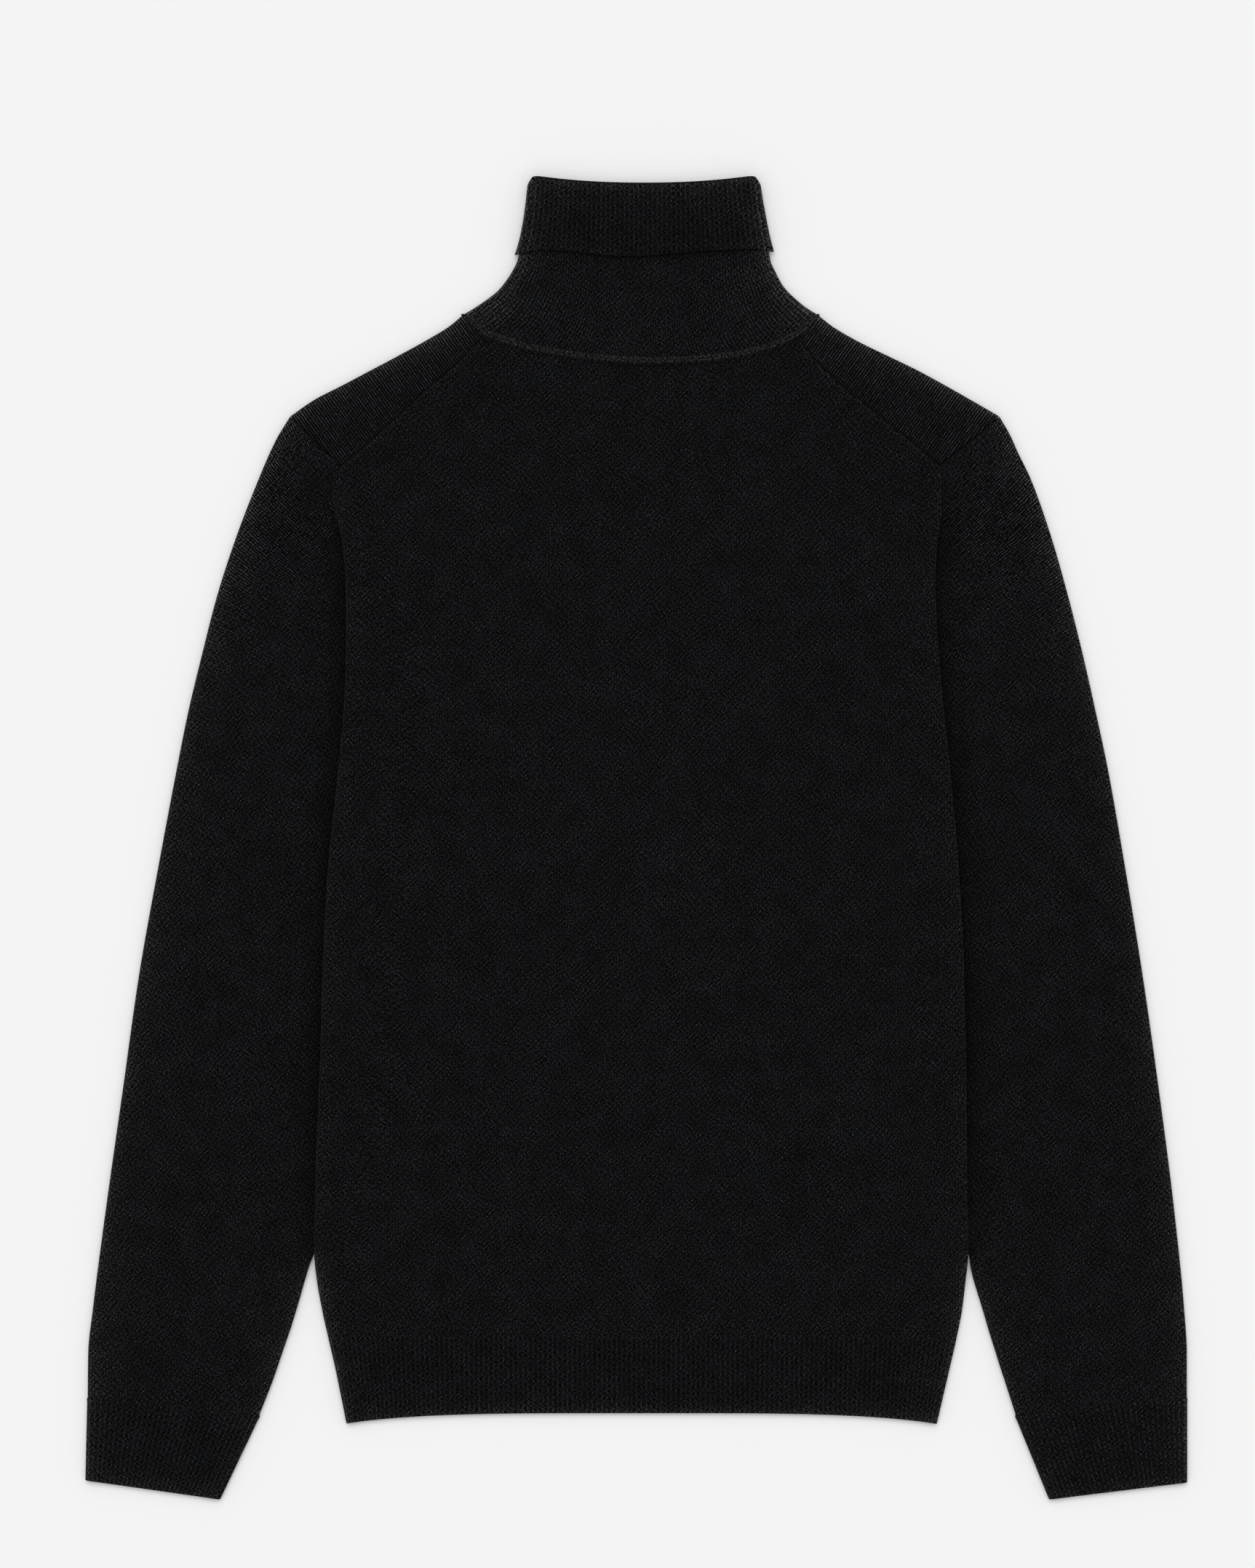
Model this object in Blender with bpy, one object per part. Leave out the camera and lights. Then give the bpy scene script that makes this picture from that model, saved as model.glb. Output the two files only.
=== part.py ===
"""Black turtleneck sweater in fine knit, laid flat on its front with the back facing up.

The garment is made as a knitter cuts and links it: a back panel, a front panel whose shoulders
wrap over to the back, two sleeves folded down beside the body with their inner edges under it, a
rib band at the hem, two rib cuffs, a rib collar turned down over itself, and the raised linking
at the neck. Every piece is a closed wall of cloth. Tables and sizes are in millimetres, the
objects in metres. X runs across the garment, Y from hem to collar, Z up from the floor.
"""

from collections import namedtuple
from math import asin, cos, pi, radians, sin

import bmesh
import bpy
import numpy as np

MM = 0.001

# Cloth
WALL = 1.5  # one layer of knit
INNER_GAP = 0.4  # between the two layers of a flattened tube
SEAM_GAP = 0.4  # between two pieces that are sewn edge to edge
SADDLE_GAP = 0.55  # the same, measured along Y across the slanting saddle seams
FLAT = 2 * WALL + INNER_GAP  # a flattened tube
FOLD_WIDTH = 2.2  # the rounded part of a fold, seen from above
FOLD_SWELL = 0.5  # cloth stands this much higher beside a fold
SWELL_REACH = 14.0
SEAM_HALF_GAP = 0.15  # where the front and back meet in the side fold
FOLD_STEPS = 2  # facets round a quarter of a fold
FOLD_OPENS = (200.0, 225.0)  # the side folds open out towards the armholes
HOLLOW_MARGIN = 0.2  # the least hollow inside a tight fold

# Ribs, one raised and one sunk wale each
RIB_RELIEF = 0.6
HEM_RIBS = 126
CUFF_RIBS = 30
COLLAR_RIBS = 52

# Body
HEM_SEAM = -301.0
YOKE = 225.0  # the corner where armhole and shoulder seams meet
FAN_START = 181.0  # the back's rows rise towards the shoulders from here
HEM_MIDDLE = -347.8
HEM_CORNER_DROP = 5.3
HEM_CORNER_POWER = 4
HEM_HALF = 172.0
BODY_MIDDLE = 2.5

# The sleeve lies under the side of the body, which rises over it and levels out below the armhole
LIFT = FLAT + FOLD_SWELL + 0.4
LIFT_FLAT = 6.0  # the body stays level this far past the sleeve's edge
LIFT_RAMP = 24.0
LIFT_TOP = (150.0, 181.0)
LIFT_FOOT = (-280.0, -252.0)
CAP_FOLD = 0.5  # width of the sleeve's inner fold where it is sewn to the armhole
CAP_BLEND = (180.0, 215.0)

# Neck
NECK_DEPTH = 88.0  # front neckline below the shoulder points
COLLAR_TOP = 396.0
COLLAR_TOP_RISE = 4.3
COLLAR_TOP_POWER = 2.2  # the sag is flat in the middle and steeper at the sides
COLLAR_HALF = 66.0
COLLAR_MIDDLE = 4.7
COLLAR_CORNER_POWER = 40  # how tightly the top fold's corners are rounded
TURN_GAP = 0.3  # between the stand and the turned-down layer
ROLL = WALL + 0.5 * TURN_GAP  # radius of the collar's top fold
STAND_RISE = WALL + TURN_GAP  # the stand lies on the front's turned-down layer
STAND_RAMP = (318.0, 348.0)
TURN_SPREAD = 1.08  # the turned-down layer's edge is this much wider than the top fold
BAND_WIDTH = 4.4
BAND_END_WIDTHS = (1.4, 1.8, 3.0)  # it narrows round the side folds
BAND_HEIGHT = 0.9
BAND_CLEAR = 0.5

# Dyed wool, linear colours
JERSEY_BLACK = (0.0067, 0.0072, 0.0080)
RIB_BLACK = (0.0075, 0.0080, 0.0088)
FELT_ROUGHNESS = 0.95

Sides = namedtuple("Sides", "height left right")
Curve = namedtuple("Curve", "x y")
Patch = namedtuple("Patch", "outer inner")
Columns = namedtuple("Columns", "share angle side")


def sides(*rows):
    """A table of the left and right outline at rising heights."""
    return Sides(*np.array(sorted(rows), float).T)


def curve(*rows):
    """A table of the points of a curve."""
    return Curve(*np.array(rows, float).T)


BODY_SIDE = sides(
    (225.0, -178.5, 183.5),
    (218.0, -184.0, 185.0),
    (204.5, -183.5, 185.0),
    (181.5, -178.0, 182.0),
    (155.0, -175.5, 180.5),
    (128.5, -175.0, 181.5),
    (89.0, -176.0, 184.5),
    (36.0, -180.5, 190.0),
    (-16.5, -186.0, 194.5),
    (-69.5, -189.0, 197.5),
    (-135.5, -191.0, 199.0),
    (-215.0, -194.0, 200.0),
    (-250.5, -194.5, 200.5),
    (-267.5, -193.0, 199.0),
    (-285.0, -190.0, 197.0),
    (-303.0, -186.0, 193.5),
    (-320.5, -182.0, 189.5),
    (-355.0, -175.0, 181.5),
)
# How far the sleeve's inner edge is under the body's side; below zero it lies beside it
TUCK = sides(
    (225.0, -0.6, -0.6),
    (150.0, -0.6, -0.6),
    (105.0, 18.0, 18.0),
    (50.0, 22.0, 22.0),
    (-150.0, 22.0, 22.0),
    (-215.0, 10.0, 10.0),
    (-252.0, -0.6, -0.6),
    (-258.5, -3.5, -1.9),
    (-276.5, -11.2, -8.6),
    (-294.0, -20.0, -16.5),
    (-311.5, -30.0, -25.7),
    (-329.0, -39.8, -35.4),
    (-348.5, -51.4, -46.2),
)
SLEEVE_OUTER = sides(
    (254.5, -209.5, 219.7),
    (243.0, -216.5, 226.3),
    (234.0, -221.0, 230.3),
    (216.5, -228.5, 238.7),
    (181.5, -242.0, 251.0),
    (146.0, -253.5, 261.1),
    (111.0, -262.5, 269.9),
    (75.5, -271.0, 277.9),
    (40.5, -278.0, 285.3),
    (-12.5, -288.0, 294.6),
    (-82.5, -300.5, 306.0),
    (-153.0, -310.5, 316.0),
    (-223.5, -320.5, 325.0),
    (-285.0, -328.5, 331.2),
    (-311.5, -331.3, 332.8),
    (-338.0, -331.6, 332.8),
)
# The slant of a sleeve's courses: how much lower the inner edge of a row is, by outer height
SLEEVE_DROP = curve(
    (-338.0, 11.0),
    (-285.0, 14.0),
    (-150.0, 22.0),
    (-12.0, 24.0),
    (111.0, 20.0),
    (181.0, 14.0),
    (216.5, 16.0),
    (234.0, 20.0),
    (254.5, 30.0),
)
SHOULDER = sides(
    (316.0, -105.0, 110.0),
    (309.0, -113.5, 119.0),
    (300.0, -128.5, 134.5),
    (291.5, -144.0, 152.0),
    (282.5, -161.0, 170.5),
    (273.5, -178.0, 187.0),
    (265.0, -194.5, 202.0),
    (255.0, -209.0, 219.3),
)
# Seam between the back panel and the front panel's shoulders
SADDLE = sides(
    (225.0, -178.5, 183.5),
    (241.0, -159.5, 164.5),
    (256.0, -143.0, 146.0),
    (270.5, -127.5, 128.0),
    (284.5, -111.0, 112.5),
    (296.5, -98.5, 102.0),
    (305.0, -91.0, 98.0),
)
NECK_CORNER = {"left": (-98.0, 311.5), "right": (104.0, 310.5)}
BACK_NECK = curve(
    (-91.0, 305.0),
    (-81.0, 301.5),
    (-65.0, 297.0),
    (-46.0, 293.5),
    (-19.5, 290.0),
    (4.5, 288.6),
    (29.0, 289.1),
    (55.0, 291.5),
    (79.5, 297.0),
    (98.0, 305.0),
)
STAND_SIDE = sides(
    (316.0, -105.0, 110.0),
    (322.0, -95.5, 101.0),
    (326.5, -89.0, 95.7),
    (331.0, -83.5, 91.0),
    (335.5, -79.7, 87.6),
    (340.0, -76.5, 85.2),
    (344.0, -74.2, 83.2),
    (348.5, -72.0, 81.2),
    (357.0, -69.8, 79.8),
    (375.0, -67.0, 77.1),
    (392.5, -65.2, 74.6),
    (400.0, -64.7, 74.0),
)
TURN_EDGE = curve(
    (-73.0, 352.0),
    (-59.0, 355.3),
    (-46.0, 355.0),
    (-30.0, 353.3),
    (-6.5, 351.6),
    (7.0, 352.0),
    (20.0, 353.0),
    (40.0, 354.6),
    (60.0, 355.5),
    (73.0, 356.0),
    (82.0, 354.2),
)
# End of each cuff, seen from above: outer and inner corner
CUFF_END = {
    "left": ((-332.8, -388.5), (-251.7, -400.0)),
    "right": ((332.8, -389.8), (249.7, -400.0)),
}

BODY_ROWS = (-301, -285, -267, -250, -215, -170, -120, -60, 0, 50, 90, 122, 150, 166, 181, 204, 218, 225)
SLEEVE_ROWS = (254.5, 247, 239, 220, 195.5, 170, 142, 105, 50, -10, -80, -150, -215, -265, -300, -338)
EDGE_COLUMNS = (8.0, 15.0, 27.0, 40.0, 62.0)  # distances from the body's side
YOKE_WIDTH = 362.0
WRAP_SHARES = (0.35, 0.68, 1.0)  # a shoulder wrap's rows, from its fold to its seam
STAND_SHARES = (0.0, 0.13, 0.27, 0.45)  # the collar stand's rows, from the neck seam up
FRONT_HEM_COLUMNS = 9
TUBE_COLUMNS = 4  # across the flat of a sleeve
FAN_ROWS = 5
BAND_POINTS = 41
FINE_ROWS = 40  # rows and points that shapes are read from, finer than what is built
FINE_POINTS = 400
AHEAD = 3  # fine points from a corner to the one its fold is aimed at
SHARP_ANGLE = radians(50)

# The linking's rounded section: distance across as a share of its width, and its height
BAND_PROFILE = curve(
    (-0.5, 0.15),
    (-0.3, 0.8),
    (0.0, 1.0),
    (0.3, 0.8),
    (0.5, 0.15),
)


# Curves


def smooth(at, knots, values):
    """Read a table as a smooth curve that never overshoots its values."""
    knots = np.asarray(knots, float)
    values = np.asarray(values, float)
    rise = np.diff(values) / np.diff(knots)
    together = rise[:-1] * rise[1:] > 0
    total = np.where(together, rise[:-1] + rise[1:], 1.0)
    inside = np.where(together, 2 * rise[:-1] * rise[1:] / total, 0.0)
    slope = np.concatenate([rise[:1], inside, rise[-1:]])
    at = np.clip(np.asarray(at, float), knots[0], knots[-1])
    i = np.clip(np.searchsorted(knots, at) - 1, 0, len(knots) - 2)
    span = knots[i + 1] - knots[i]
    t = (at - knots[i]) / span
    start = (1 + 2 * t) * values[i] + t * span * slope[i]
    end = (3 - 2 * t) * values[i + 1] - (1 - t) * span * slope[i + 1]
    return (1 - t) ** 2 * start + t**2 * end


def step(at, low, high):
    """Rise smoothly from 0 at low to 1 at high."""
    t = np.clip((at - low) / (high - low), 0, 1)
    return t * t * (3 - 2 * t)


def mix(a, b, share):
    """A value a share of the way from a to b."""
    return a + (b - a) * share


def side_x(table, side, height):
    """Where an outline's left or right side is at a height."""
    return smooth(height, table.height, getattr(table, side))


def point_on(table, side, height):
    """A point of an outline, seen from above."""
    height = np.asarray(height, float)
    return np.stack([side_x(table, side, height), height], axis=-1)


def unit(vector):
    """A vector of length one in the same direction."""
    return vector / np.linalg.norm(vector, axis=-1, keepdims=True)


def moved(points, distance):
    """A curve moved sideways by a distance, to the left of its direction, with mitred corners."""
    along = unit(np.diff(points, axis=0))
    normal = np.stack([-along[:, 1], along[:, 0]], axis=-1)
    before = np.concatenate([normal[:1], normal])
    after = np.concatenate([normal, normal[-1:]])
    opening = 1 + np.sum(before * after, axis=-1, keepdims=True)
    return points + distance * (before + after) / opening


def length_shares(points):
    """The share of a curve's length at which each of its points lies."""
    along = np.concatenate([[0], np.cumsum(np.linalg.norm(np.diff(points, axis=0), axis=1))])
    return along / along[-1]


def spaced(points, shares):
    """Points of a curve at shares of its length."""
    along = length_shares(points)
    return np.stack([np.interp(shares, along, points[:, k]) for k in (0, 1)], axis=-1)


def fill(bottom, top, left, right, u, v):
    """Fill a four-sided outline with columns at the shares u and rows at the shares v."""
    u = u[None, :, None]
    v = v[:, None, None]
    across = (1 - v) * bottom[None] + v * top[None]
    along = (1 - u) * left[:, None] + u * right[:, None]
    low = (1 - u) * bottom[0] + u * bottom[-1]
    high = (1 - u) * top[0] + u * top[-1]
    return across + along - (1 - v) * low - v * high


# Walls


def with_height(plan, height):
    """Add heights above the floor to points seen from above."""
    return np.concatenate([plan, np.broadcast_to(height, plan.shape[:-1])[..., None]], axis=-1)


def make_wall(name, colour, patches):
    """Join paired outer and inner grids of points into one closed wall of cloth."""
    index = {}
    outer, inner, faces = [], [], []
    for patch in patches:
        rows, columns = patch.outer.shape[:2]
        number = np.zeros((rows, columns), int)
        for place in np.ndindex(rows, columns):
            key = tuple(np.round(patch.outer[place], 4))
            if key not in index:
                index[key] = len(outer)
                outer.append(patch.outer[place])
                inner.append(patch.inner[place])
            number[place] = index[key]
        for r, c in np.ndindex(rows - 1, columns - 1):
            a, b = int(number[r, c]), int(number[r, c + 1])
            d, e = int(number[r + 1, c]), int(number[r + 1, c + 1])
            faces += [face for face in ((a, b, e), (a, e, d)) if len(set(face)) == 3]
    count = len(outer)
    edges = {(face[k - 1], face[k]) for face in faces for k in range(3)}
    rim = sorted((a, b) for a, b in edges if (b, a) not in edges)
    walls = [(b, a, a + count, b + count) for a, b in rim]
    back = [[n + count for n in reversed(face)] for face in faces]
    points = np.array(outer + inner) * MM
    return add_object(name, colour, points.tolist(), faces + back + walls)


def add_object(name, colour, points, faces):
    """Add a closed mesh with its own fabric material."""
    mesh = bpy.data.meshes.new(name)
    mesh.from_pydata(points, [], faces)
    shape = bmesh.new()
    shape.from_mesh(mesh)
    bmesh.ops.triangulate(shape, faces=shape.faces)
    bmesh.ops.recalc_face_normals(shape, faces=shape.faces)
    shape.to_mesh(mesh)
    shape.free()
    mesh.shade_smooth()
    mesh.set_sharp_from_angle(angle=SHARP_ANGLE)
    material = bpy.data.materials.new(f"{name} knit")
    material.use_nodes = True
    finish = material.node_tree.nodes["Principled BSDF"]
    finish.inputs["Base Color"].default_value = (*colour, 1.0)
    finish.inputs["Roughness"].default_value = FELT_ROUGHNESS
    finish.inputs["Metallic"].default_value = 0.0
    mesh.materials.append(material)
    thing = bpy.data.objects.new(name, mesh)
    bpy.context.scene.collection.objects.link(thing)
    return thing


# Folded edges


def fold_angles(first):
    """Angles round a quarter of a fold, from the side to the flat."""
    return np.linspace(first, pi / 2, FOLD_STEPS + 1)


def body_columns(inner_shares):
    """The body's columns: a rounded fold at each side and plain columns between."""
    first = asin(SEAM_HALF_GAP / (0.5 * (FLAT + FOLD_SWELL)))
    angles = fold_angles(first)
    none = np.zeros(len(inner_shares))
    share = np.concatenate([np.zeros(len(angles)), inner_shares, np.ones(len(angles))])
    angle = np.concatenate([angles, none + pi / 2, angles[::-1]])
    side = np.concatenate([np.full(len(angles), -1), none, np.full(len(angles), 1)])
    return Columns(share, angle, side)


def body_plan(columns, height):
    """Where the body's columns lie at a height, and how far each is in from the nearer side."""
    level = np.minimum(height, YOKE)
    left = side_x(BODY_SIDE, "left", level)
    right = side_x(BODY_SIDE, "right", level)
    inset = FOLD_WIDTH * (1 - np.cos(columns.angle))
    x = mix(left, right, columns.share)
    x = np.where(columns.side < 0, left + inset, x)
    x = np.where(columns.side > 0, right - inset, x)
    return x, np.minimum(x - left, right - x)


def body_lift(x, height):
    """How far the body is raised by the sleeve that lies under its side."""
    rise = step(height, *LIFT_FOOT) * (1 - step(height, *LIFT_TOP))
    lift = 0.0
    for side, sign in (("left", 1), ("right", -1)):
        inward = sign * (x - side_x(BODY_SIDE, side, np.minimum(height, YOKE)))
        level = np.maximum(side_x(TUCK, side, height), 0) + LIFT_FLAT
        lift = np.maximum(lift, rise * (1 - step(inward, level, level + LIFT_RAMP)))
    return LIFT * lift


def body_heights(layer, columns, inward, curl):
    """Outer and inner height of the back (top) or the front (under) layer."""
    middle = 0.5 * (FLAT + FOLD_SWELL)
    turn = middle * np.sin(columns.angle)
    inner_turn = np.maximum((middle - WALL) * np.sin(columns.angle), SEAM_HALF_GAP)
    if layer == "back":
        flat = FLAT + FOLD_SWELL * curl * (1 - step(inward, FOLD_WIDTH, SWELL_REACH))
        arc, arc_inner = middle + turn, middle + inner_turn
        flat_inner = flat - WALL
    else:
        flat, flat_inner = 0.0, WALL
        arc, arc_inner = middle - turn, middle - inner_turn
    folded = np.where(columns.side != 0, curl, 0.0)
    return mix(flat, arc, folded), mix(flat_inner, arc_inner, folded)


def body_patch(layer, columns, height, relief=0.0):
    """A grid of the back or front, with folds at its sides that open out towards the armhole."""
    x, inward = body_plan(columns, height)
    curl = 1 - step(height, *FOLD_OPENS)
    outer, inner = body_heights(layer, columns, inward, curl)
    lift = body_lift(x, height)
    reach = WALL * np.cos(columns.angle) * curl * np.where(columns.side == 0, 0, 1)
    inner_x = x - np.sign(columns.side) * reach
    bump = relief if layer == "back" else 0.0
    return Patch(
        np.stack([x, height, outer + lift + bump], axis=-1),
        np.stack([inner_x, height, inner + lift], axis=-1),
    )


def panel_columns():
    """Columns shared by back and front, with one for each point of the back neckline."""
    edge = np.array(EDGE_COLUMNS) / YOKE_WIDTH
    neck = (BACK_NECK.x - SADDLE.left[0]) / YOKE_WIDTH
    return body_columns(np.concatenate([edge, neck, 1 - edge[::-1]]))


# Back panel


def saddle_height(side, x):
    """Height of a saddle seam, which runs from the armhole to the neck."""
    sign = 1 if side == "left" else -1
    return smooth(sign * x, sign * getattr(SADDLE, side), SADDLE.height)


def back_top(x):
    """Height of the back panel's upper edge: two saddle seams and the neckline between."""
    saddle = np.minimum(saddle_height("left", x), saddle_height("right", x))
    neck = smooth(x, BACK_NECK.x, BACK_NECK.y)
    between = (x > SADDLE.left[-1]) & (x < SADDLE.right[-1])
    return np.where(between, neck - SEAM_GAP, saddle - SADDLE_GAP)


def make_back():
    """The back panel, from the hem band's seam to the saddle seams and the neckline."""
    columns = panel_columns()
    top_x, _ = body_plan(columns, np.full(len(columns.share), YOKE))
    rows = np.array(BODY_ROWS, float)[:, None]
    fan = np.clip((rows - FAN_START) / (YOKE - FAN_START), 0, 1)
    height = rows + fan * (back_top(top_x)[None, :] - YOKE)
    return make_wall("back", JERSEY_BLACK, [body_patch("back", columns, height)])


# Front panel


def front_neckline():
    """The front neckline, a deep curve with a point below each point of the back neckline."""
    left, right = SHOULDER.left[-1], SHOULDER.right[-1]
    share = (BACK_NECK.x - BACK_NECK.x[0]) / (BACK_NECK.x[-1] - BACK_NECK.x[0])
    y = SHOULDER.height[-1] - NECK_DEPTH * np.sqrt(1 - (2 * share - 1) ** 2)
    return np.stack([mix(left, right, share), y], axis=-1)


def neck_end(side, share):
    """The saddle's short edge at the neck, from the shoulder point to the neck corner."""
    start = point_on(SHOULDER, side, SHOULDER.height[-1])
    end = point_on(SADDLE, side, SADDLE.height[-1])
    control = np.array(NECK_CORNER[side])
    share = np.asarray(share)[:, None]
    return (1 - share) ** 2 * start + 2 * share * (1 - share) * control + share**2 * end


def saddle_plan(side, t, rows):
    """The shoulder wrap seen from above, from its fold to its seam, for columns at t."""
    fold = point_on(SHOULDER, side, mix(SHOULDER.height[0], SHOULDER.height[-1], t))
    ends = getattr(SADDLE, side)
    seam_x = mix(ends[0], ends[-1], t)
    seam = np.stack([seam_x, saddle_height(side, seam_x)], axis=-1)
    share = np.linspace(0, 1, rows)
    armhole = mix(fold[0], seam[0], share[:, None])
    return fill(fold, seam, armhole, neck_end(side, share), t, share)


def saddle_patch(side, t):
    """The fold over the shoulder and the part of the front that lies on the back."""
    plan = saddle_plan(side, t, FINE_ROWS)
    length = np.linalg.norm(plan[-1] - plan[0], axis=-1)
    inward = unit(plan[AHEAD] - plan[0])
    middle = 0.5 * (FLAT + FOLD_SWELL)
    outer, inner = [], []
    for angle in np.linspace(-pi / 2, pi / 2, 2 * FOLD_STEPS + 1):
        place = plan[0] + inward * FOLD_WIDTH * (1 - cos(angle))
        outer.append(with_height(place, middle + middle * sin(angle)))
        place = place + inward * WALL * cos(angle)
        inner.append(with_height(place, middle + (middle - WALL) * sin(angle)))
    start = FOLD_WIDTH / length
    for share in WRAP_SHARES:
        at = mix(start, 1.0, share) * (FINE_ROWS - 1)
        low = np.minimum(at.astype(int), FINE_ROWS - 2)
        column = np.arange(len(t))
        place = mix(plan[low, column], plan[low + 1, column], (at - low)[:, None])
        away = np.linalg.norm(place - plan[0], axis=-1)
        top = FLAT + FOLD_SWELL * (1 - step(away, FOLD_WIDTH, SWELL_REACH))
        outer.append(with_height(place, top))
        inner.append(with_height(place, top - WALL))
    return Patch(np.array(outer), np.array(inner))


def front_fan(lower, wraps):
    """The lower layer above the yoke: its columns run up to the shoulders and the neckline."""
    start = lower.outer[-1, :, :2]
    neck = front_neckline()[1:-1]
    end = np.concatenate([wraps["left"].outer[0, :, :2], neck, wraps["right"].outer[0, :, :2]])
    share = np.linspace(0, 1, FAN_ROWS)[:, None, None]
    plan = mix(start[None], end[None], share)
    return Patch(with_height(plan, 0.0), with_height(plan, WALL))


def shoulder_wraps(x):
    """Both shoulder wraps, with columns that continue those at x on the yoke line."""
    left = (x - SADDLE.left[0]) / (SADDLE.left[-1] - SADDLE.left[0])
    right = (x - SADDLE.right[0]) / (SADDLE.right[-1] - SADDLE.right[0])
    return {
        "left": saddle_patch("left", left[left <= 1 + 1e-6]),
        "right": reversed_columns(saddle_patch("right", right[right <= 1 + 1e-6][::-1])),
    }


def make_front():
    """The front panel with both of its shoulders wrapped over to the back."""
    columns = panel_columns()
    rows = np.array(BODY_ROWS, float)
    height = np.repeat(rows[:, None], len(columns.share), axis=1)
    lower = body_patch("front", columns, height)
    wraps = shoulder_wraps(lower.outer[-1, :, 0])
    fan = front_fan(lower, wraps)
    return make_wall("front", JERSEY_BLACK, [lower, fan, wraps["left"], wraps["right"]])


def reversed_columns(patch):
    """The same patch with its columns counted from the other side."""
    return Patch(patch.outer[:, ::-1], patch.inner[:, ::-1])


# Flattened tubes: sleeves and cuffs


def tube_ring(outside, inside, shares, fold_outside, fold_inside, swell_inside, relief=0.0):
    """One ring of a flattened tube between two points, with its outer and inner face."""
    across = unit(inside - outside)
    width = np.linalg.norm(inside - outside)
    outer, inner = [], []

    def add_fold(corner, inward, fold, swell, angles):
        middle = 0.5 * (FLAT + swell)
        hollow = max(fold, WALL + HOLLOW_MARGIN)
        for angle in angles:
            place = corner + inward * fold * (1 - cos(angle))
            outer.append([*place, middle + middle * sin(angle)])
            place = corner + inward * (hollow - (hollow - WALL) * cos(angle))
            inner.append([*place, middle + (middle - WALL) * sin(angle)])

    def add_flat(order, top):
        first = SWELL_REACH if relief == 0 else fold_outside
        for share in order:
            at = mix(first, width - first, share)
            near = FOLD_SWELL * (1 - step(at, FOLD_WIDTH, SWELL_REACH))
            far = swell_inside * (1 - step(width - at, FOLD_WIDTH, SWELL_REACH))
            height = FLAT + near + far
            place = outside + across * at
            bump = relief * rib_wave(share) if top else 0.0
            outer.append([*place, height + bump if top else 0.0])
            inner.append([*place, height - WALL if top else WALL])

    half = np.linspace(-pi / 2, pi / 2, 2 * FOLD_STEPS + 1)
    plain = np.linspace(0, 1, TUBE_COLUMNS)
    add_fold(outside, across, fold_outside, FOLD_SWELL, half)
    add_flat(shares, top=True)
    add_fold(inside, -across, fold_inside, swell_inside, half[::-1])
    add_flat(plain[::-1], top=False)
    outer.append(outer[0])
    inner.append(inner[0])
    return outer, inner


def rib_wave(share):
    """Half the relief up on a raised wale and half down on a sunk one."""
    return 0.5 * cos(2 * pi * CUFF_RIBS * share)


def make_sleeve(side):
    """A sleeve, from the armhole to the cuff's seam."""
    outer, inner = [], []
    flat = np.linspace(0, 1, TUBE_COLUMNS)
    for height in SLEEVE_ROWS:
        low = float(height - smooth(height, SLEEVE_DROP.x, SLEEVE_DROP.y))
        outside = point_on(SLEEVE_OUTER, side, height)
        under = float(side_x(TUCK, side, low)) * (1 if side == "left" else -1)
        inside = np.array([float(side_x(BODY_SIDE, side, low)) + under, low])
        sewn = float(step(low, *CAP_BLEND))
        fold = mix(FOLD_WIDTH, CAP_FOLD, sewn)
        swell = FOLD_SWELL * (1 - sewn)
        ring = tube_ring(outside, inside, flat, FOLD_WIDTH, fold, swell)
        outer.append(ring[0])
        inner.append(ring[1])
    patch = Patch(np.array(outer), np.array(inner))
    return make_wall(f"sleeve_{side}", JERSEY_BLACK, [patch])


def make_cuff(side):
    """A rib cuff between the sleeve's last row and its own open end."""
    top = SLEEVE_ROWS[-1] - SEAM_GAP
    low = top - SLEEVE_DROP.y[0]
    under = TUCK.left[0] if side == "left" else -TUCK.right[0]
    start = point_on(SLEEVE_OUTER, side, top)
    seam_end = np.array([float(side_x(BODY_SIDE, side, low)) + under, low])
    end, inner_end = (np.array(corner) for corner in CUFF_END[side])
    ribs = np.linspace(0, 1, 2 * CUFF_RIBS + 1)
    outer, inner = [], []
    for share in (0.0, 1.0):
        ring = tube_ring(
            mix(start, end, share),
            mix(seam_end, inner_end, share),
            ribs,
            FOLD_WIDTH,
            FOLD_WIDTH,
            FOLD_SWELL,
            RIB_RELIEF,
        )
        outer.append(ring[0])
        inner.append(ring[1])
    return make_wall(f"cuff_{side}", RIB_BLACK, [Patch(np.array(outer), np.array(inner))])


# Hem band


def hem_edge(x):
    """Height of the hem's lower edge, which drops a little towards both corners."""
    return HEM_MIDDLE - HEM_CORNER_DROP * np.abs((x - BODY_MIDDLE) / HEM_HALF) ** HEM_CORNER_POWER


def make_hem(layer):
    """One side of the rib band at the hem."""
    count = 2 * HEM_RIBS + 1 if layer == "back" else FRONT_HEM_COLUMNS
    margin = 2 * FOLD_WIDTH / YOKE_WIDTH
    columns = body_columns(np.linspace(margin, 1 - margin, count))
    top = np.full(len(columns.share), HEM_SEAM - SEAM_GAP)
    low_x, _ = body_plan(columns, np.full(len(columns.share), HEM_MIDDLE))
    height = np.stack([top, hem_edge(low_x)])
    wave = np.cos(pi * np.arange(count)) * 0.5 * RIB_RELIEF
    relief = np.zeros(len(columns.share))
    relief[columns.side == 0] = wave
    return make_wall(f"hem_{layer}", RIB_BLACK, [body_patch(layer, columns, height, relief)])


# Collar


def collar_top(x):
    """Height of the collar's top fold, sagging in the middle and rounded at its corners."""
    return COLLAR_TOP + COLLAR_TOP_RISE * (np.abs(x - COLLAR_MIDDLE) / COLLAR_HALF) ** COLLAR_TOP_POWER


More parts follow.
